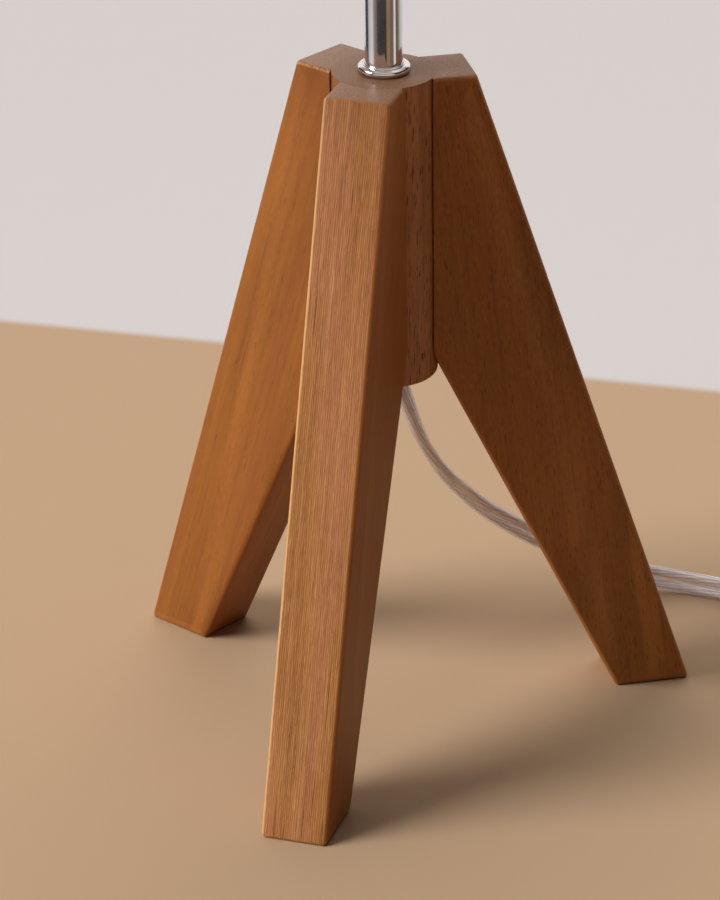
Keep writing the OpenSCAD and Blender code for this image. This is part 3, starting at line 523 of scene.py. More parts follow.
def makeWood(name, look):
    # stained and thinly lacquered board: broad figure, soft streaks, fine broken ridges, short pores,
    # speckled end grain, arrises rubbed lighter and partly a painted highlight, a painted shade
    # on the side faces, and a painted bounce light towards the foot
    wood = Finish(name, IOR=1.46, Specular_IOR_Level=0.27, Coat_Roughness=0.33)
    grain = wood.laid(wood.here(), (1000, 1000, 1000), (0, look.lean, 0), look.move)
    endGrain = wood.step(abs(wood.here("Normal").along("Z")), 0.8, 0.93)

    # broad figure, and growth lines round a heart that lies outside the board
    patch = wood.noise(grain, look.patch, detail=3, move=(0, 17, 0), warp=0.6)
    sway = wood.noise(grain, (30, 30, 170), detail=1)
    heart = wood.laid(grain, (1, 1, 0), move=look.heart)
    shell = wood.add("ShaderNodeVectorMath", {"operation": "LENGTH"}, {0: heart}, "Value") + sway * look.sway
    rings = (shell * (2 * pi / look.ringStep)).maths("SINE") * 0.5 + 0.5
    strength = wood.step(wood.noise(grain, (8, 8, 80), detail=1, move=(7, 3, 0)), 0.42, 0.66)
    tint = wood.noise(grain, (7, 7, 130), move=(0, 0, 50))
    # painted bounce light: a lighter tone fading in towards the foot below 0.12 m, as light thrown up by the
    # table
    layers = [(wood.step(wood.here().along("Z"), 0.12, 0.02) * look.footDepth, look.foot),
              (wood.step(rings, 0.6, 1.0) * strength * look.lineDepth, look.line),
              (wood.step(tint, 0.46, 0.66) * look.tintDepth, look.tint)]

    # soft streaks, then fine ridges that break off every few millimetres
    streak = wood.noise(grain, (1.3, 1.3, 75), detail=3, rough=0.6)
    ridge = wood.noise(grain, look.ridge, move=(40, 0, 0))
    drift = wood.noise(grain, (1.6, 1.6, 14), move=(20, 0, 0))
    broken = wood.step(wood.noise(grain, (0.7, 0.7, 2.2), move=(0, 9, 0)), 0.34, 0.58)
    comb = (grain.along("Y") * (2 * pi / look.combStep) + drift * 11).maths("SINE") * broken * 0.42 + 0.5
    for value, depth in (streak, look.streakDepth), (ridge, look.ridgeDepth), (comb, look.combDepth):
        layers += [(wood.step(value, 0.5, 0.76) * depth, look.fibre),
                   (wood.step(value, 0.5, 0.26) * depth, look.line)]
    pores = wood.step(wood.noise(grain, look.pores, detail=1, move=(0, 0, 90), warp=0.15), *look.poreRange)
    # painted shade: a darker, more saturated tone on the board's side faces, so that the front leg's side reads
    # as shaded
    shadedSides = wood.step(abs(wood.here().along("Y")), 0.008, 0.0089)

    # end grain: open pores as specks in a greyer tone
    speck = wood.noise(grain, (0.5, 0.5, 2), detail=3, rough=0.65, move=(0, 0, 30))
    smear = wood.noise(grain, 3.5, detail=4, rough=0.6, move=(3, 0, 30))
    cut = wood.blend(wood.step(speck, 0.26, 0.74), look.endDark, look.endLight)
    cut = wood.blend(wood.step(smear, 0.4, 0.7) * 0.45, cut, look.endDark)

    # arrises: lighter along them where the stain is worn thin, and partly as a painted highlight;
    # some are bare where they were knocked, and one long pale line is a painted highlight too
    chips = wood.noise(grain, (0.6, 0.6, 2.6), detail=3, rough=0.7, move=(11, 0, 0))
    thin = wood.step(wood.mark("arris") + chips * 0.5, 0.75, 1.2) * look.rubbed
    bare = wood.step(wood.mark("bare") + chips * 0.9, 0.92, 1.3)
    layers += [(pores * look.poreDepth, look.pore), (shadedSides * look.sideDepth, look.side), (endGrain, cut),
               (thin, look.arris), (bare, look.bare)]

    relief = ridge * look.ridgeDepth + comb * look.combDepth + streak * 0.3
    relief = relief - pores * 0.6 + speck * endGrain * 0.7 + bare * 0.4
    return wood.wear(
        Base_Color=wood.over(wood.blend(wood.step(patch, 0.3, 0.68), look.dark, look.light), *layers),
        Roughness=look.rough + ridge * 0.2 + endGrain * 0.04 + pores * 0.15,
        Coat_Weight=look.coat + endGrain * wood.step(smear, 0.35, 0.75) * 0.3,
        Normal=wood.bump(relief, look.relief))


print("legs")
legSetting = Setting(
    thick=18,
    high=182,
    topReach=22.5,
    footOut=82.5,
    footIn=61.8,
    forkHigh=106.3,
    forkRound=12,
    hubRadius=13.5,
    cope=13.6,  # radius of the leg's hollow end
    joint=0.015,
    arris=1.2,
    corner=0.8,
    angles={"front": -90, "right": 30, "left": 156.3},
    # how far the joint with the hub is open on each side of the board
    groove={"front": (0.1, 0.12), "right": (0.75, 0.3), "left": (0.3, 0.7)},
    grooveFrom=8.1,  # from the board's middle
    grooveWide=0.6,
)


def legSlice(setting, inset, y, groove):
    # the outline of a leg at one place across its thickness, from the top inner corner round by the foot
    opened = groove * min(max((abs(y) - setting.grooveFrom) / setting.grooveWide, 0), 1)
    cope = sqrt(max((setting.hubRadius + setting.joint) ** 2 - y * y, 0)) + opened
    inner = sqrt(setting.cope ** 2 - (setting.thick / 2) ** 2) - 0.1
    outerLean = (setting.footOut - setting.topReach) / setting.high
    innerLean = (setting.footIn - inner) / setting.forkHigh
    slide = inset * sqrt(1 + innerLean * innerLean)
    shift = inset * sqrt(1 + outerLean * outerLean)
    low = setting.footIn - inset * innerLean + slide
    kinkHigh = (setting.footIn + slide - inner) / innerLean
    turn = atan(innerLean)
    radius = setting.forkRound
    arcHigh = kinkHigh + radius * tan(turn / 2)
    high = setting.high
    corners = [(cope, high - inset), (setting.topReach + inset * outerLean - shift, high - inset),
               (setting.footOut - inset * outerLean - shift, inset), (low, inset),
               (inner, kinkHigh)]
    line = rounded(corners, [0, setting.corner, setting.corner, setting.corner, 0], 4)[:-1]
    # more points down the outer edge and up the inner one, so that marks and shading are even
    top, foot = line[:6], line[6:]
    outer = [tuple(Vector(top[-1]).lerp(Vector(foot[0]), k / 6)) for k in range(1, 6)]
    line = top + outer + foot
    throat = [(inner + radius * (1 - cos(turn * k / 6)), arcHigh - radius * sin(turn * k / 6))
              for k in range(6, -1, -1)]
    line += [tuple(Vector(line[-1]).lerp(Vector(throat[0]), k / 14)) for k in range(1, 15)] + throat[1:]
    line += [(inner, arcHigh + (high - inset - arcHigh) * k / 8) for k in range(1, 8)]
    return [(max(x, cope), z) for x, z in line]


def makeLeg(side, finish, knocksAndSheen):
    # knocked spots and painted highlights are (first point, last point, side of the board, how strong) round
    # the outline
    setting = legSetting
    half, arris = setting.thick / 2, setting.arris
    places = []
    for a in [radians(18 * k) for k in range(5, -1, -1)]:
        places.append((arris * (1 - cos(a)), half - arris * (1 - sin(a)), sin(2 * a)))
    # one more loop just inside the side face, so that wear and the painted highlight fade out on it
    places = [(arris * 1.9, half, 0)] + places
    inner = [(0, y, 0) for y in (6.2, 4, 2, 0, -2, -4, -6.2)]
    slices = places + inner + [(inset, -y, mark) for inset, y, mark in reversed(places)]
    rings, wear, bare = [], [], []
    low, high = setting.groove[side]
    for inset, y, mark in slices:
        outline = legSlice(setting, inset, y, high if y > 0 else low)
        rings.append([spot(x, y, z) for x, z in outline])
        for k in range(len(outline)):
            edge = 0.7 if 2 <= k <= 4 or 12 <= k <= 19 else 0
            wear.append(max(mark, edge) if k > 0 else 0)
            bare.append(max([amount * (mark if face else edge) for first, last, face, amount in knocksAndSheen
                             if first <= k <= last and (face == 0 or face * y > 0)] + [0]))
    leg = loft("leg" + side.title(), rings, sharp=40, marks={"arris": wear, "bare": bare})
    leg.rotation_euler = (0, 0, radians(setting.angles[side]))
    bpy.context.view_layer.update()
    place(leg, "lamp", finish, "leg_wood", "leg_" + side)


legLook = Setting(
    # how the grain lies in the board, and where its heart was
    lean=radians(18.25), move=(0, 0, 0), heart=(-70, 55, 0), sway=26, ringStep=7,
    patch=(13, 13, 90), dark=(160, 102, 50), light=(184, 124, 68),
    line=(112, 64, 30), lineDepth=0.3,
    tint=(180, 116, 84), tintDepth=0.55,
    fibre=(214, 164, 112), streakDepth=0.34, ridge=(0.24, 0.24, 4), ridgeDepth=0.36,
    combStep=0.56, combDepth=0.24,
    pores=(0.8, 0.8, 34), poreRange=(0.69, 0.76), poreDepth=0.5, pore=(70, 34, 16),
    # the board's side faces with a painted shade, the foot with a painted bounce light, end grain and arrises
    side=(152, 89, 28), sideDepth=0.82, foot=(192, 124, 56), footDepth=0,
    endDark=(144, 104, 80), endLight=(180, 142, 118),
    arris=(196, 124, 62), rubbed=0.55, bare=(208, 162, 106),
    rough=0.36, coat=0.06, relief=0.09,
)
frontWood = makeWood("frontLegWood", legLook)
leftWood = makeWood("leftLegWood", Setting(
    legLook, move=(31, 60, 140), heart=(20, -64, 0), ringStep=9, patch=(10, 10, 120), dark=(138, 82, 32),
    light=(160, 100, 42), lineDepth=0.4, tint=(152, 88, 44), fibre=(180, 120, 62), streakDepth=0.22,
    ridge=(0.36, 0.36, 4.6), ridgeDepth=0.16, combDepth=0, pores=(0.4, 0.4, 6), poreRange=(0.7, 0.76),
    poreDepth=0.35, sideDepth=0, relief=0.03))
# the right leg is painted lighter towards its foot: a painted bounce light
rightWood = makeWood("rightLegWood", Setting(
    legLook, lean=radians(7), move=(-22, 130, 300), heart=(-30, 80, 0), ringStep=11, patch=(20, 20, 75),
    dark=(130, 74, 24), light=(150, 90, 34), line=(92, 50, 20), lineDepth=0.4,
    tint=(146, 84, 34), fibre=(180, 116, 56), streakDepth=0.3, ridge=(0.4, 0.4, 2), ridgeDepth=0.26,
    combDepth=0, pores=(0.4, 0.4, 3), poreRange=(0.66, 0.74), sideDepth=0, footDepth=0.9,
    arris=(186, 124, 78), rubbed=0.6, relief=0.04))
# where each leg's edges were knocked bare; the front leg's long pale line down its lit left arris is a painted
# highlight too
legKnocksAndSheen = {
    "front": [(3, 13, -1, 1), (0, 3, -1, 0.35), (2, 4, 0, 0.35), (11, 13, 0, 0.6)],
    "right": [(0, 2, -1, 0.3), (14, 20, -1, 0.4)],
    "left": [(0, 4, 1, 0.66), (5, 8, 1, 0.35), (12, 19, 1, 0.45)],
}
for side, finish in ("front", frontWood), ("right", rightWood), ("left", leftWood):
    makeLeg(side, finish, legKnocksAndSheen[side])


print("hub")
hubSetting = Setting(radius=13.5, low=98.5, high=182, edge=0.6, recess=9.75, recessHigh=122.5, bore=5.2)


def makeHub(setting):
    corners = [(setting.recess, setting.low), (setting.radius, setting.low),
               (setting.radius, setting.high), (setting.bore, setting.high),
               (setting.bore, setting.recessHigh), (setting.recess, setting.recessHigh)]
    outline = closer(rounded(corners, [0.3, setting.edge * 1.6, 0.05, 0.3, 0.3, 0.3], 4), 6, round)
    rubbed = [0.85 if z < setting.low + 0.7 and r > 12 else 0 for r, z in outline]
    return lathe("hubTurned", outline, 120, marks={"arris": rubbed, "bare": [0] * len(outline)})


hubWood = makeWood("hubWood", Setting(
    legLook, lean=0, heart=(-40, 30, 0), patch=(9, 9, 60), dark=(146, 88, 44), light=(176, 114, 64),
    tint=(166, 104, 66), fibre=(198, 140, 92), line=(104, 58, 30), streakDepth=0.3, ridgeDepth=0.3,
    combDepth=0, pores=(0.42, 0.42, 4), poreRange=(0.62, 0.69), poreDepth=0.85, pore=(62, 30, 14), ringStep=5,
    endDark=(136, 98, 72), endLight=(170, 130, 102), sideDepth=0, rubbed=0.3, relief=0.06))
place(makeHub(hubSetting), "lamp", hubWood, "hub_wood", "hub")


print("stem")
stemSetting = Setting(
    radius=4.9, bore=4.0, low=113, high=250, base=182,
    collar=6.9, rim=1.1, bead=0.24,
)


def makeChrome():
    chrome = Finish("stemChrome", Metallic=1.0)
    at = chrome.hereInMm()
    drawn = chrome.noise(at, (0.5, 0.5, 60))
    haze = chrome.noise(at, (8, 8, 14), detail=3)
    specks = chrome.step(chrome.noise(at, (0.5, 0.5, 0.9), move=(5, 0, 9)), 0.7, 0.78)
    colour = chrome.blend(chrome.step(haze, 0.35, 0.7), (226, 226, 230), (206, 205, 208))
    return chrome.wear(Base_Color=colour, Roughness=0.06 + haze * 0.08 + specks * 0.2,
                       Normal=chrome.bump(drawn, 0.0025))


chromeFinish = makeChrome()


def makeTube(setting):
    corners = [(setting.bore, setting.low), (setting.radius, setting.low),
               (setting.radius, setting.high), (setting.bore, setting.high)]
    return lathe("stemTube", rounded(corners, 0.2, 3), 128)


def makeCollar(setting):
    # a rounded rim, a shallow groove, and a small bead at the tube
    far, near = setting.collar, setting.radius + 0.05
    rim, bead = setting.rim, setting.bead
    outline = [(near, 0.0), (far - rim - 0.2, 0.0)] + arc(far - rim, rim, rim, -80, 104, 23)
    outline += [(near + 0.56, rim * 1.86), (near + 0.5, rim * 1.86)]
    outline += arc(near + bead, rim * 1.92, bead, 0, 180, 9)
    return lathe("stemCollar", outline, 128, setting.base, sharp=50)


place(makeTube(stemSetting), "lamp", chromeFinish, "chrome", "stem_tube")
place(makeCollar(stemSetting), "lamp", chromeFinish, "chrome", "stem_collar")


print("plastics and metals")


def makePlastic(name, light, dark, scuffed, rough, deep):
    # moulded plastic: faint orange peel, slight flow in its colour, and fine rubbed spots
    plastic = Finish(name, IOR=1.47)
    at = plastic.hereInMm()
    flow = plastic.noise(at, (9, 9, 16), detail=3, warp=0.5)
    peel = plastic.noise(at, 0.5)
    scuff = plastic.step(plastic.noise(at, (0.35, 4, 4), detail=3, rough=0.7), 0.62, 0.74)
    colour = plastic.blend(plastic.step(flow, 0.3, 0.7), light, dark)
    return plastic.wear(Base_Color=plastic.blend(scuff * 0.25, colour, scuffed),
                        Roughness=rough + peel * 0.1 + scuff * 0.12, Normal=plastic.bump(peel, deep))


def makeMetal(name, light, dark, spotted, share, marks, rough, deep):
    # plated or bare metal: cloudy tone, turning or drawing marks, and a few dull spots
    metal = Finish(name, Metallic=1.0)
    at = metal.hereInMm()
    cloud = metal.noise(at, 3, detail=4, rough=0.6)
    drawn = metal.noise(at, marks, rough=0.6)
    spots = metal.step(metal.noise(at, 0.8, detail=3, move=(9, 4, 2)), 0.62, 0.72)
    colour = metal.blend(metal.step(cloud, 0.3, 0.7), light, dark)
    return metal.wear(Base_Color=metal.blend(spots * share, colour, spotted),
                      Roughness=rough + cloud * 0.14 + spots * 0.15, Normal=metal.bump(drawn, deep))


# light, dark and scuffed tone, roughness, depth of the peel in mm
plasticLooks = {
    "whitePlastic": ((240, 239, 234), (230, 228, 221), (206, 202, 194), 0.3, 0.012),
    "bulbPlastic": ((243, 243, 241), (234, 234, 232), (214, 214, 211), 0.4, 0.02),
    "plugPlastic": ((236, 234, 228), (224, 221, 214), (198, 193, 184), 0.42, 0.03),
    "rockerPlastic": ((246, 246, 244), (238, 238, 235), (212, 211, 206), 0.22, 0.008),
    "glazedCeramic": ((238, 232, 218), (226, 217, 200), (186, 172, 150), 0.18, 0.02),
    "blackInsulator": ((34, 33, 36), (22, 22, 24), (70, 70, 72), 0.15, 0.015),
    "coreSleeve": ((214, 212, 210), (196, 192, 190), (170, 166, 164), 0.35, 0.02),
}
# light, dark and spotted tone, how strong the spots are, size of the marks in mm, roughness, depth in mm
metalLooks = {
    "zincedSteel": ((206, 207, 209), (168, 170, 174), (196, 186, 150), 0.3, (0.25, 6, 6), 0.26, 0.01),
    "brass": ((222, 186, 112), (190, 148, 78), (132, 96, 52), 0.4, (5, 5, 0.2), 0.2, 0.008),
    "nickelledCap": ((214, 210, 202), (182, 178, 170), (150, 142, 128), 0.3, (5, 5, 0.2), 0.18, 0.008),
    "solderedTip": ((196, 196, 198), (150, 150, 154), (110, 106, 104), 0.5, (0.6, 0.6, 0.6), 0.3, 0.03),
}
whitePlastic, bulbPlastic, plugPlastic, rockerPlastic, ceramic, blackInsulator, sleeve = (
    makePlastic(name, *look) for name, look in plasticLooks.items())
zincedSteel, brass, nickelled, solder = (makeMetal(name, *look) for name, look in metalLooks.items())


def dress(finish, *nodes):
    # a model's own solid keeps its shape and takes a finish
    for node in nodes:
        cover(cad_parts[node], finish)


dowelWood = makeWood("dowelWood", Setting(
    legLook, lean=radians(90), dark=(206, 170, 124), light=(226, 194, 150), line=(176, 134, 88),
    fibre=(236, 208, 168), pore=(150, 110, 72), endDark=(170, 132, 90), endLight=(222, 190, 146),
    combDepth=0, sideDepth=0, coat=0.0, rough=0.55))
dress(dowelWood, "leg_dowels")
dress(zincedSteel, "stem_washer", "stem_nut", "grub_screw", "terminal_screws", "switch_screws")
dress(brass, "terminals", "centre_contact", "switch_contacts", "plug_blades")
dress(ceramic, "terminal_block")
dress(whitePlastic, "cord_bush")
dress(sleeve, "core_wires", "inner_cord")


print("lampholder")
holderSetting = Setting(
    low=240, cap=20.5, capHigh=24, neck=8.5, neckHigh=5, rim=5, wall=2.2, bore=4.95,
    shoulder=23, seat=29, shell=19.5, top=57, shellBore=16.5, lip=14.2, lipThick=2.5,
    threadStep=3, threadDeep=0.45,
)


def helix(step, deep, low, high, near, far):
    # a rounded thread between two heights, only on the faces between two radii
    def cut(a, r, z):
        if not near <= r <= far or not low <= z <= high:
            return 0
        fade = min(1, (z - low) / step, (high - z) / step)
        return -deep * max(fade, 0) * (0.5 + 0.5 * cos(2 * pi * z / step - a))
    return cut


def makeHolderCap(setting):
    high, rim = setting.capHigh, setting.rim
    domeHigh = high - rim
    dome = [(setting.cap * sqrt(1 - ((domeHigh - z) / (domeHigh - 3)) ** 2), z)
            for z in [setting.neckHigh + (domeHigh - setting.neckHigh) * (1 - cos(k * pi / 36))
                      for k in range(19)]]
    insideR = setting.cap - setting.wall
    inside = [(insideR * sqrt(1 - ((domeHigh - z) / 9) ** 2), z)
              for z in [domeHigh - 8 * sin(k * pi / 20) for k in range(11)]]
    outline = [(setting.bore, 0), (setting.neck - 0.4, 0), (setting.neck, 0.4),
               (setting.neck, setting.neckHigh - 0.5)] + dome
    # a bead round the rim
    outline += [(setting.cap, high - 2.4), (setting.cap - 0.45, high - 2.1), (setting.cap - 0.45, high - 1.7),
                (setting.cap, high - 1.4), (setting.cap, high - 0.4), (setting.cap - 0.3, high - 0.05),
                (insideR, high - 0.05)] + inside + [(setting.bore, 11)]
    cap = lathe("holderCap", outline, 120, setting.low, sharp=32)
    hole = arc(0, setting.low + 2.5, 1.5, 0, 348, 29)
    return carved(cap, loft("screwDrill", [[spot(x, y, z) for y, z in hole] for x in (-12, -5.5)]))


def carved(piece, *cutters):
    # cut with other meshes, and keep only the result
    for cutter in cutters:
        cut = piece.modifiers.new("cut", "BOOLEAN")
        cut.operation, cut.solver, cut.object = "DIFFERENCE", "EXACT", cutter
    bpy.context.view_layer.update()
    done = bpy.data.meshes.new_from_object(piece.evaluated_get(bpy.context.evaluated_depsgraph_get()))
    piece.modifiers.clear()
    piece.data = done
    for cutter in cutters:
        bpy.data.objects.remove(cutter)
    return piece


def makeHolderShell(setting):
    high, shell, top = setting.capHigh, setting.shell, setting.top
    outline = [(16, 19.3), (18.25, 19.3), (18.25, high + 0.05), (setting.shoulder - 0.4, high + 0.05),
               (setting.shoulder, high + 0.45), (setting.shoulder, setting.seat - 0.5),
               (setting.shoulder - 0.5, setting.seat), (shell, setting.seat), (shell, top - 0.5),
               (shell - 0.5, top), (setting.lip + 0.5, top), (setting.lip, top - 0.5),
               (setting.lip, top - setting.lipThick), (setting.shellBore, top - setting.lipThick),
               (setting.shellBore, 26), (14, 26), (14, high), (16, high)]
    thread = helix(setting.threadStep, setting.threadDeep, setting.seat + 1, top - 1.5, shell - 0.1, shell + 1)
    return lathe("holderShell", closer(outline, 0.4), 96, setting.low, thread, sharp=32)


screwSetting = Setting(
    low=240, foot=34, top=54.3, near=13.65, far=14.25, flange=16.4, bore=9.5, step=3.6, deep=0.14,
)


def makeScrewShell(setting):
    # thin brass, pressed into the bulb's thread
    foot, top, near, far, bore, flange = (setting[k] for k in ("foot", "top", "near", "far", "bore", "flange"))
    wave = [foot + 1.2 + (top - foot - 1.2) * k / 60 for k in range(61)]
    outline = [(bore, foot), (flange, foot), (flange, foot + 0.6), (far, foot + 0.6)]
    outline += [(far, z) for z in wave] + [(near, z) for z in reversed(wave)] + [(bore, foot + 0.7)]

    def pressed(a, r, z):
        if r < near - 0.1 or r > far + 0.1 or z < foot + 1.2:
            return 0
        fade = min(1, (z - foot - 1.2) / 3, (top - z) / 1.5)
        return setting.deep * max(fade, 0) * cos(2 * pi * z / setting.step - a)

    return lathe("screwShell", outline, 96, setting.low, pressed, sharp=32)


clampSetting = Setting(
    low=270.4, bore=19.8, body=23.1, flange=27, high=9.6, flangeHigh=2.6, notches=18, grips=36,
)


def makeClampRing(setting):
    bore, body, flange, high, notches = (setting[k] for k in ("bore", "body", "flange", "high", "notches"))
    corners = [(bore, 0), (flange, 0), (flange, setting.flangeHigh), (body + 0.2, setting.flangeHigh + 0.4),
               (body, high), (bore, high)]
    outline = closer(rounded(corners, [0.3, 0.6, 0.6, 0.8, 0.8, 0.3], 4), 0.8)

    def grip(a, r, z):
        if r > body + 1.4:
            near = abs((a * notches / (2 * pi) + 0.5) % 1 - 0.5) * 2 * pi * flange / notches
            return -0.66 * max(0, 1 - (near / 1.5) ** 2) * min(1, (r - body - 1.4) / 1.2)
        if r > bore + 1 and z > 3.6:
            return 0.12 * max(0, cos(a * setting.grips)) * min(1, (z - 3.6) / 0.6, (high - z) / 0.6)
        return 0

    return lathe("clampRing", outline, 288, setting.low, grip, sharp=32)


place(makeHolderCap(holderSetting), "lamp", whitePlastic, "white_plastic", "holder_cap")
place(makeHolderShell(holderSetting), "lamp", whitePlastic, "white_plastic", "holder_shell")
place(makeScrewShell(screwSetting), "lamp", brass, "brass", "screw_shell")
place(makeClampRing(clampSetting), "clamp", whitePlastic, "white_plastic", "clamp_ring")


print("bulb")
bulbSetting = Setting(
    low=276.4, radius=30, middle=78, wall=1, collarTop=27, collarHigh=64.92, capRadius=13.2, capHigh=24,
    threadStep=3.6, threadDeep=0.8,
    insulator=[(0, 1.5), (5.2, 1.5), (6.2, 2.3), (8.2, 3.7), (8.4, 4), (8.4, 6.6), (0, 6.6)],
    tip=[(0, 0), (2.6, 0.05), (4.2, 0.4), (4.95, 0.9), (5, 1.45), (0, 1.45)],
)


def makeGlobe(setting):
    # open below, where the collar takes over
    start = -degrees(acos(setting.collarTop / setting.radius))
    outer, inner = (arc(0, setting.middle, radius, start, 90, 48)[:-1] + [(0, setting.middle + radius)]
                    for radius in (setting.radius, setting.radius - setting.wall))
    return lathe("bulbGlobe", outer + inner[::-1], 120, setting.low)


def makeBulbCollar(setting):
    low, high, neck = setting.capHigh, setting.collarHigh, setting.capRadius + 0.4
    outer = [(neck + (setting.collarTop - neck) * sin(pi * k / 60), low + (high - low) * k / 30)
             for k in range(31)]
    # a thin shadow line below the globe
    outer[-2] = (outer[-2][0] - 0.05, high - 0.5)
    inner = [(r - 1.4, z) for r, z in reversed(outer)]
    return lathe("bulbCollar", outer + inner, 120, setting.low)


def makeBulbCap(setting):
    radius, high = setting.capRadius, setting.capHigh - 0.05
    outline = [(9.5, 3.8), (10.4, 4.0), (12.2, 5.0), (radius - 0.15, 6.4), (radius - 0.15, high - 3.2),
               (radius, high - 2.6), (radius, high), (12.5, high), (12.5, 6.6), (9.5, 5)]
    thread = helix(setting.threadStep, setting.threadDeep, 5.4, high - 2.8, 11.9, radius)
    return lathe("bulbCap", closer(outline, 0.35), 96, setting.low, thread, sharp=40)


def makeBulbFoot(setting):
    insulator, tip = (lathe(name, setting[key], 72, setting.low, closed=False)
                      for name, key in (("bulbInsulator", "insulator"), ("bulbTip", "tip")))
    place(insulator, "bulb", blackInsulator, "black_insulator", "bulb_contact")
    place(tip, "bulb", solder, "nickelled_cap")


def makeFrostedGlass():
    glass = Finish("frostedGlass", IOR=1.5, Transmission_Weight=0.12, Subsurface_Weight=0.25,
        Subsurface_Scale=0.004, Coat_Weight=0.25, Coat_Roughness=0.12)
    at = glass.hereInMm()
    powder = glass.noise(at, 0.6, detail=3)
    cloud = glass.noise(at, (22, 22, 26))
    colour = glass.blend(glass.step(cloud, 0.3, 0.7), (248, 246, 240), (240, 238, 231))
    return glass.wear(Base_Color=colour, Roughness=0.34 + powder * 0.16, Normal=glass.bump(powder, 0.006))


place(makeGlobe(bulbSetting), "bulb", makeFrostedGlass(), "frosted_glass", "bulb_globe")
place(makeBulbCollar(bulbSetting), "bulb", bulbPlastic, "bulb_plastic", "bulb_collar")
place(makeBulbCap(bulbSetting), "bulb", nickelled, "nickelled_cap", "bulb_cap")
makeBulbFoot(bulbSetting)


print("shade")
shadeSetting = Setting(
    low=256, high=160, bottom=115, top=95, cloth=1.2, hem=9, hemThick=0.5,
    seam=11, thread=0.55,  # from one thread of the weave to the next
)


def clothRadius(h):
    setting = shadeSetting
    return setting.bottom - (setting.bottom - setting.top) * h / setting.high


def band(low, high, out, thick, points=2):
    # an outline that follows the cloth, from its outside
    up = [(clothRadius(low + (high - low) * k / (points - 1)) + out, low + (high - low) * k / (points - 1))
          for k in range(points)]
    return up, [(r - thick, z) for r, z in reversed(up)]


def makeLinen(name, look):
    # warp and weft with uneven threads, slubs, and a smooth lining inside
    linen = Finish(name, Sheen_Weight=0.25, Sheen_Roughness=0.5)
    at = linen.hereInMm()
    run = linen.maths("ARCTAN2", at.along("X"), -at.along("Y")) * 105
    rise = at.along("Z")
    flat = linen.add("ShaderNodeCombineXYZ", {}, {0: run, 1: rise, 2: 0})
    swayX = linen.noise(flat, (3, 30, 1)) * look.thread
    swayY = linen.noise(flat, (30, 3, 1), move=(3, 8, 0)) * look.thread
    warp = ((run + swayX) * (2 * pi / look.thread)).maths("SINE")
    weft = ((rise + swayY) * (2 * pi / look.thread)).maths("SINE")
    weave = warp * weft * 0.25 + abs(warp) * 0.25 + abs(weft) * 0.3
    across = linen.noise(flat, (30, 0.9, 1), detail=3, rough=0.6)
    upward = linen.noise(flat, (0.9, 34, 1), detail=3, rough=0.6, move=(5, 5, 0))
    slubs = linen.step(across, 0.52, 0.74) + linen.step(upward, 0.55, 0.76) * 0.7
    thin = linen.step(across, 0.46, 0.28) + linen.step(upward, 0.44, 0.28) * 0.7
    cloud = linen.noise(flat, (70, 70, 1), detail=1)
    inside = linen.mark("lining")
    film = linen.noise(flat, (6, 6, 1))
    colour = linen.over(
        linen.blend(linen.step(cloud, 0.3, 0.7), look.light, look.dark),
        (linen.step(weave, 0.4, -0.05) * 0.22, look.gap),
        (linen.maths("MINIMUM", thin * 0.4, 1), look.gap),
        (linen.maths("MINIMUM", slubs * 0.8, 1), look.slub),
        (inside, linen.blend(film, (244, 242, 236), (236, 233, 226))))
    relief = (weave * 0.4 + slubs) * (1 - inside) + film * inside * 0.3
    return linen.wear(
        Base_Color=colour, Roughness=0.86 - inside * 0.36, Normal=linen.bump(relief, look.relief))


linenLook = Setting(
    thread=shadeSetting.thread, light=(228, 218, 198), dark=(218, 206, 184),
    gap=(178, 162, 136), slub=(244, 237, 222), relief=0.06,
)


def makeShade(setting):
    linen = makeLinen("linenCloth", linenLook)
    tape = makeLinen("hemTape", Setting(
        linenLook, thread=0.42, light=(224, 213, 192), dark=(213, 200, 177), relief=0.05))
    outer, inner = band(0, setting.high, 0, setting.cloth, 30)
    outline = outer + inner
    cloth = lathe("shadeCloth", outline, 240, setting.low, marks={"lining": [0] * 30 + [1] * 30})
    place(cloth, "shade", linen, "linen", "shade_cloth")
    # hems: tape folded over the edge, thicker where it turns
    proud = setting.hemThick + 0.15
    for name, node, low, s in (("hemBottom", "hem_bottom", 0, -1),
                               ("hemTop", "hem_top", setting.high - setting.hem, 1)):
        up, down = band(low, low + setting.hem, proud, setting.hemThick, 8)
        # the free edge is pressed flatter, and the other is folded over the cloth
        z, free = (low + setting.hem, 0) if s > 0 else (low, 7)
        up[free] = (up[free][0] - 0.12, up[free][1])
        r, far = clothRadius(z), clothRadius(z) - setting.cloth - 0.1
        fold = [(r + proud - 0.2, z + s * 0.35), (r - setting.cloth * 0.5, z + s * 0.5),
                (far, z + s * 0.25), (far, z + s * 0.02)]
        line = up + fold + down if s > 0 else up + down + fold[::-1]
        hem = lathe(name, line, 240, setting.low, marks={"lining": [0] * len(line)})
        place(hem, "shade", tape, "hem_tape", node)
    # the cloth's free end laps over its start at the back
    seam = makeSeam(setting)
    place(seam, "shade", linen, "linen")


def makeSeam(setting):
    half, flat = setting.seam / 2, setting.seam - 2
    cross = [(-half, 0.02), (-half + 0.15, 0.42)] + [(-half + 1 + flat * j / 6, 0.48) for j in range(7)]
    cross += [(half - 0.15, 0.42), (half, 0.02)]
    rings = []
    for k in range(41):
        h = setting.hem + 0.2 + (setting.high - 2 * setting.hem - 0.4) * k / 40
        r = clothRadius(h)
        turns = [(pi / 2 + x / r, r + out) for x, out in cross]
        rings.append([spot(out * cos(a), out * sin(a), setting.low + h) for a, out in turns])
    points, faces = rows(rings, False, (False, False))
    return skin("shadeSeam", points, faces, marks={"lining": [0] * len(points)})


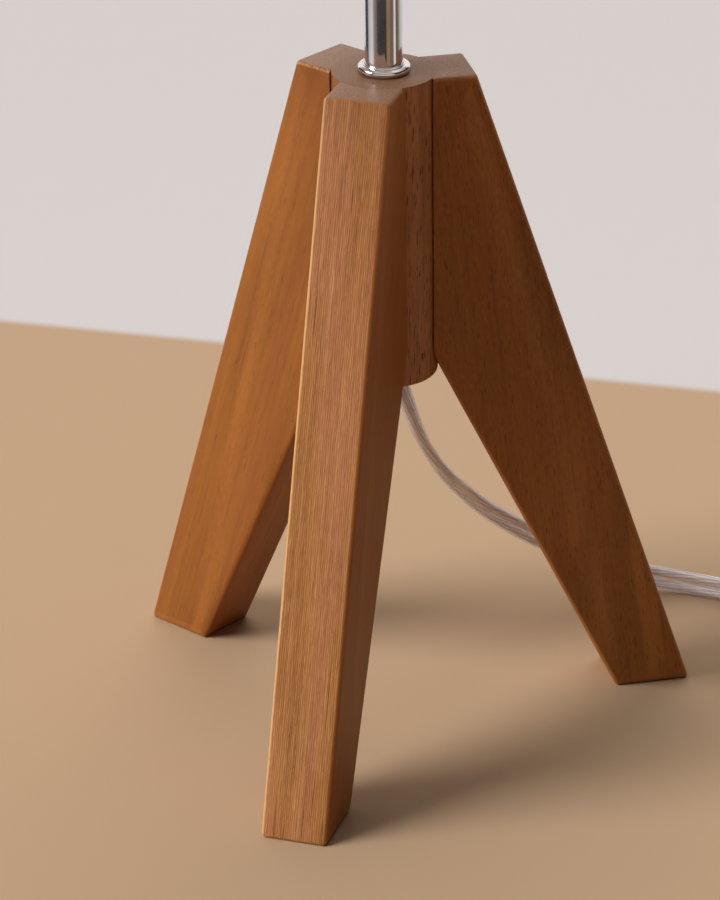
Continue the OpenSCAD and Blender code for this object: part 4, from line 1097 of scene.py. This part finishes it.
def makeCoatedWire():
    coat = Finish("coatedWire", IOR=1.5)
    at = coat.hereInMm()
    pool = coat.noise(at, 5, detail=3)
    peel = coat.noise(at, 0.7)
    chips = coat.step(coat.noise(at, 1.2, detail=3, move=(3, 0, 7)), 0.7, 0.74)
    colour = coat.blend(coat.step(pool, 0.3, 0.7), (238, 237, 233), (226, 225, 220))
    return coat.wear(Base_Color=coat.blend(chips * 0.8, colour, (150, 148, 146)), Metallic=chips * 0.6,
                     Roughness=0.28 + pool * 0.14, Normal=coat.bump(peel, 0.03))


makeShade(shadeSetting)
dress(makeCoatedWire(), "shade_carrier", "shade_bottom_ring", "shade_top_ring")


print("switch")
switchSetting = Setting(
    at=(114.6, 74.25), turn=-10, length=58, wide=22, high=17, end=10, split=8.5, wall=1.8,
    floor=1.1, edge=2.4, rockerHigh=14.2, rockerLong=17, rockerWide=10, tilt=7,
    holes=(19, 4.3),
)


def switchPlan(setting, inset, z):
    # slim ends and a full middle, round the whole outline
    side = []
    half = setting.length / 2 - inset
    for k in range(45):
        x = -cos(pi * k / 44)
        full = max(cos(pi / 2 * x), 0) ** 0.6
        y = setting.end / 2 - inset + (setting.wide - setting.end) / 2 * full
        pull = max(0, abs(x) * half - half + 1.6)
        if pull:
            y -= 1.6 - sqrt(max(1.6 ** 2 - pull ** 2, 0))
        side.append((x * half, y))
    return [spot(x, y, z) for x, y in side] + [spot(x, -y, z) for x, y in reversed(side)]


def setDown(piece, setting, z=0, tilt=0):
    # from the switch's or plug's own frame to its place on the table
    turn = Matrix.Rotation(radians(setting.turn), 4, "Z") @ Matrix.Rotation(radians(-tilt), 4, "Y")
    piece.matrix_world = Matrix.Translation(spot(*setting.at, z)) @ turn
    bpy.context.view_layer.update()
    return piece


def block(name, size, middle):
    x, y, z = (s / 2 for s in size)
    rings = [[spot(middle[0] + a * x, middle[1] + b * y, middle[2] + c * z)
              for a, b in ((-1, -1), (1, -1), (1, 1), (-1, 1))] for c in (-1, 1)]
    return loft(name, rings)


def post(name, at, radius, low, high):
    return loft(name, [[spot(x, y, z) for x, y in arc(*at, radius, 0, 348.75, 31)] for z in (low, high)])


def makeSwitchBase(setting):
    wall, split = setting.wall, setting.split
    stages = [(0.8, 0), (0.35, 0.22), (0.08, 0.6), (0, 0.95), (0, split - 0.3), (0.22, split - 0.04),
              (wall - 0.2, split - 0.04), (wall, split - 0.2), (wall, setting.floor)]
    base = loft("switchBase", [switchPlan(setting, inset, z) for inset, z in stages], sharp=30)
    x, y = setting.holes
    cutters = [post("bore%d" % k, (s * x, -s * y), 2.25, -1, 1.85) for k, s in enumerate((-1, 1))]
    return setDown(carved(base, *cutters), setting)


def makeSwitchCover(setting):
    wall, split, high, edge = (setting[key] for key in ("wall", "split", "high", "edge"))
    stages = [(wall, high - 1.8), (wall, split + 0.2), (wall - 0.2, split + 0.06), (0.22, split + 0.06),
              (0, split + 0.34)]
    stages += [(edge * (1 - cos(a)), high - edge + edge * sin(a)) for a in [radians(15 * k) for k in range(6)]]
    stages += [(edge, high)]
    lid = loft("switchCover", [switchPlan(setting, inset, z) for inset, z in stages], sharp=30)
    long, wide = setting.rockerLong + 1.5, setting.rockerWide + 0.7
    # a low frame round the opening
    frameRings = []
    for out, z in ((1.5, high - 0.3), (1.5, high + 0.25), (1.2, high + 0.5), (0.3, high + 0.5),
                   (0, high + 0.25), (0, high - 3)):
        corners = [(-long / 2 - out, -wide / 2 - out), (long / 2 + out, -wide / 2 - out),
                   (long / 2 + out, wide / 2 + out), (-long / 2 - out, wide / 2 + out)]
        frameRings.append([spot(px, py, z) for px, py in rounded(corners, 0.5 + out, 5)])
    rim = loft("switchFrame", frameRings, ends=(False, False), sharp=30)
    opening = block("opening", (long + 0.02, wide + 0.02, 12), (0, 0, high))
    carved(lid, opening)
    grips = [ridge("grip", s * (20.6 + 1.5 * k), 3.1 - 0.55 * k, high)
             for s in (-1, 1) for k in range(4)]
    return setDown(joined("switchCover", [lid, rim] + grips), setting)


def ridge(name, x, half, z, broad=0.38, tall=0.42, sunk=0.2, up=1):
    # a small rounded rib across a cover
    rings = []
    for k in range(9):
        y = half * (2 * k / 8 - 1)
        rise = up * tall * sqrt(max(1 - (y / (half + 0.05)) ** 2, 0.02))
        turns = [pi * j / 6 for j in range(7)]
        rings.append([spot(x + broad * cos(a), y, z + rise * sin(a)) for a in turns]
                     + [spot(x, y, z - up * sunk)])
    return loft(name, rings)


def joined(name, pieces):
    # several meshes as one piece
    work = bmesh.new()
    for piece in pieces:
        part = piece.data.copy()
        part.transform(piece.matrix_world)
        work.from_mesh(part)
        bpy.data.meshes.remove(part)
    mesh = bpy.data.meshes.new(name)
    work.to_mesh(mesh)
    work.free()
    for piece in pieces:
        bpy.data.objects.remove(piece)
    return shown(name, mesh)


def makeRocker(setting):
    half, wide = setting.rockerLong / 2, setting.rockerWide / 2
    rings = []
    for y, inset in ((-wide, 0.55), (-wide + 0.08, 0.3), (-wide + 0.3, 0.08), (-wide + 0.6, 0), (wide - 0.6, 0),
                     (wide - 0.3, 0.08), (wide - 0.08, 0.3), (wide, 0.55)):
        line = [(-half + inset, -3), (half - inset, -3)]
        for k in range(25):
            x = (half - inset) * (1 - 2 * k / 24)
            end = max(0, abs(x) - half + 0.7)
            z = 2.2 + 1.4 * (x / half) ** 2 - inset - (0.7 - sqrt(max(0.49 - end * end, 0)))
            line.append((x, z))
        rings.append([spot(x, y, z) for x, z in line])
    body = loft("rockerBody", rings, sharp=34)
    # three short ribs mark the end that is pressed to switch on
    ribs = [ridge("rib", x, 2.6, 2.15 + 1.4 * (x / half) ** 2) for x in (4.2, 5.45, 6.7)]
    pin = [(0, -6.7), (1, -6.7), (1.2, -6.5), (1.2, 6.5), (1, 6.7), (0, 6.7)]
    pin = lathe("rockerPin", pin, 32, closed=False)
    pin.matrix_world = Matrix.Rotation(radians(90), 4, "X")
    bpy.context.view_layer.update()
    return setDown(joined("switchRocker", [body, pin] + ribs), setting, setting.rockerHigh, setting.tilt)


switchBase = place(makeSwitchBase(switchSetting), "lamp", whitePlastic, "white_plastic", "switch_base")
switchCover = place(makeSwitchCover(switchSetting), "lamp", whitePlastic, "white_plastic", "switch_cover")
switchRocker = place(makeRocker(switchSetting), "rocker", rockerPlastic, "white_plastic", "switch_rocker")


print("plug")
plugSetting = Setting(
    at=(197.5, -41), turn=-128, middle=7.5,
    relief=20, slots=3, slotted=4.7,  # how far the slots' floors are from the relief's middle
    # the grip: (from the relief, wide, thick, corner), with a soft shoulder and a flat front
    grip=[(0.4, 14.6, 10, 3), (1.2, 15.8, 10.9, 3.2), (2.6, 16.9, 11.7, 3.4), (5, 18.2, 12.6, 3.5),
          (8, 19.3, 13.4, 3.5), (11, 20.3, 14, 3.5), (14, 21.2, 14.6, 3.4), (16.5, 21.8, 14.9, 3.3),
          (18.5, 22, 15, 3.2), (24.4, 22, 15, 3.1), (25.1, 21.8, 14.8, 3), (25.65, 21.2, 14.2, 2.8),
          (25.95, 20.4, 13.4, 2.5), (26, 19.6, 12.6, 2.2)],
)


def makePlugBody(setting):
    relief = setting.relief
    # the relief: a taper with slots cut from both sides
    slots = [relief * (k - 0.2) / (setting.slots + 0.6) for k in range(1, setting.slots + 1)]
    stations = []
    for x in sorted({0, 0.5, relief} | {s + d for s in slots for d in (-1.0, -0.8, -0.75, 0.75, 0.8, 1.0)}):
        rise, less = x / (relief + 2), 0.8 if x == 0 else 0
        slotted = setting.slotted if any(abs(x - s) < 0.78 for s in slots) else setting.relief
        stations.append((x, 9.2 + 4.4 * rise - less, 6.2 + 3.1 * rise - less, 2.4, slotted))
    stations += [(relief + x, wide, thick, corner, relief) for x, wide, thick, corner in setting.grip]
    rings = []
    for x, wide, thick, corner, widest in stations:
        corners = [(y * wide / 2, z * thick / 2) for y, z in ((-1, -1), (1, -1), (1, 1), (-1, 1))]
        line = rounded(corners, min(corner, thick / 2 - 0.05), 7)
        rings.append([spot(x, max(min(y, widest), -widest), z) for y, z in line])
    body = loft("plugBody", rings, sharp=32)
    ribs = []
    for s in (-1, 1):
        for x, half in ((6.5 + 1.8 * k, 5.2 + 0.25 * k) for k in range(5)):
            z = s * (12.6 + (x - 5) * 0.225) / 2
            ribs.append(ridge("plugRib", relief + x, half, z, 0.5, 0.4, 0.5, s))
    return setDown(joined("plugBody", [body] + ribs), setting, setting.middle)


plugBody = place(makePlugBody(plugSetting), "lamp", plugPlastic, "plug_plastic", "plug_body")


print("stage")
stageSetting = Setting(
    near=(181, 152, 123),
    far=(200, 194, 192),
    world=(206, 208, 214),
    worldStrength=0.07,
    backEdge=((-200, 207), (39, 220)),  # two points of the line where the tones meet
    # a ring on the floor that only polished surfaces show, with painted reflections in its tones:
    # degrees round from the camera, and tone there
    ring=[(-180, (206, 208, 214)), (-140, (200, 202, 208)), (-134, (26, 28, 32)), (-108, (30, 32, 36)),
             (-102, (160, 162, 174)), (-88, (196, 190, 192)), (-82, (214, 200, 190)), (-68, (206, 192, 182)),
             (-60, (130, 116, 106)), (-42, (100, 86, 76)), (-38, (30, 18, 12)), (-10, (14, 8, 6)),
             (14, (24, 14, 10)), (18, (132, 100, 62)), (34, (142, 110, 72)), (41, (92, 78, 68)),
             (60, (112, 98, 88)), (64, (230, 218, 200)), (73, (224, 208, 188)), (78, (96, 74, 54)),
             (94, (112, 90, 72)), (100, (150, 142, 140)), (118, (196, 192, 198)), (180, (200, 200, 206))],
    ringReach=(0.24, 1.1),  # m
    # pale panels that only glossy surfaces show: degrees from the camera, far, half wide, (from, to) in m, glow
    panels=[(180, 1.6, 1.5, (0.15, 1.9), 0.85), (0, 1.3, 1.3, (0.04, 0.7), 0.3)],
    floorHalf=8, backdrop=7.9,  # m
    # suns: where each stands round from +X and up, how wide it is, power and colour
    suns=[("keyLight", -148, 34, 32, 3.4, (1, 0.985, 0.965)), ("topLight", 140, 66, 80, 1.2, (1, 0.99, 0.98)),
          ("backLight", 100, 34, 60, 0.95, (0.98, 0.985, 1))],
)


def makeFloor(setting):
    half = setting.floorHalf
    corners = [(-half, -half, 0), (half, -half, 0), (half, half, 0), (-half, half, 0)]
    floor = skin("floor", corners, [(0, 1, 2, 3)])
    pale = Finish("paleFloor", Roughness=0.8, Specular_IOR_Level=0.0)
    at = pale.here()
    (x1, y1), (x2, y2) = setting.backEdge
    slope = (y2 - y1) / (x2 - x1)
    behind = at.along("Y") - at.along("X") * slope - (y1 - x1 * slope) * mm
    colour = pale.blend(pale.step(behind, -0.003, 0.003), setting.near, setting.far)
    floor.data.materials.append(pale.wear(Base_Color=colour))


def mirrorOnly(card, finish):
    # what only shows in polished and glossy surfaces
    card.data.materials.append(finish)
    card.visible_camera = card.visible_diffuse = card.visible_shadow = card.visible_transmission = False


def makeReflections(setting):
    near, far = setting.ringReach
    points = [(x, y, 0.002) for r in (near, far) for x, y in arc(0, 0, r, 0, 355, 71)]
    ring = skin("ring", points, [(k, k + 72, (k + 1) % 72 + 72, (k + 1) % 72) for k in range(72)])
    ring.rotation_euler = (0, 0, radians(cameraSetting.azimuth - 90))
    # painted reflections: tones round a ring for the chrome to mirror
    paintedReflection = Finish("ringFinish", Roughness=0.9)
    at = paintedReflection.here()
    around = paintedReflection.maths("ARCTAN2", at.along("Y"), at.along("X")) / (2 * pi) + 0.5
    tones = [(a / 360 + 0.5, paint(*tone)) for a, tone in setting.ring]
    mirrorOnly(ring, paintedReflection.wear(Base_Color=paintedReflection.ramp(around, tones)))
    for i, (turn, away, half, (low, high), glow) in enumerate(setting.panels):
        turn = radians(cameraSetting.azimuth - 90 + turn)
        out, side = Vector((cos(turn), sin(turn), 0)), Vector((-sin(turn), cos(turn), 0))
        rim = [out * away + side * half * x + Vector((0, 0, z))
               for x, z in ((-1, low), (1, low), (1, high), (-1, high))]
        pale = Finish("panelFinish%d" % i, Roughness=0.9, Emission_Strength=glow)
        mirrorOnly(skin("panel%d" % i, rim, [(0, 1, 2, 3)]), pale.wear(Emission_Color=paint(222, 214, 210)))


def makeBackdrop(setting):
    # a pale dome that the camera and clear plastic see, and that gives no light
    dome = lathe("backdrop", arc(0, 0, setting.backdrop / mm, -2, 90, 23), 48, closed=False)
    pale = Finish("backdropFinish", Roughness=0.9, Emission_Strength=0.8)
    dome.data.materials.append(pale.wear(Base_Color=paint(0, 0, 0), Emission_Color=paint(222, 216, 213)))
    dome.visible_diffuse = dome.visible_glossy = dome.visible_shadow = False


def makeSun(name, azimuth, elevation, spread, power, colour):
    light = bpy.data.lights.new(name, "SUN")
    light.angle, light.energy, light.color = radians(spread), power, colour
    holder = shown(name, light)
    a, e = radians(azimuth), radians(elevation)
    towards = Vector((cos(a) * cos(e), sin(a) * cos(e), sin(e)))
    holder.location = towards * 2
    holder.rotation_euler = towards.to_track_quat("Z", "Y").to_euler()


makeFloor(stageSetting)
makeBackdrop(stageSetting)
makeReflections(stageSetting)
for sun in stageSetting.suns:
    makeSun(*sun)
world = bpy.data.worlds.new("room")
world.use_nodes = True
glow = world.node_tree.nodes["Background"].inputs
glow["Color"].default_value = paint(*stageSetting.world)
glow["Strength"].default_value = stageSetting.worldStrength
bpy.context.scene.world = world
bpy.context.scene.view_settings.view_transform = "Standard"

[tuple(p) for p in cordLine]
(cordCores + [switchBase, switchCover, switchRocker, plugBody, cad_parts["plug_blades"],
                                 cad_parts["switch_contacts"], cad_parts["switch_screws"]])
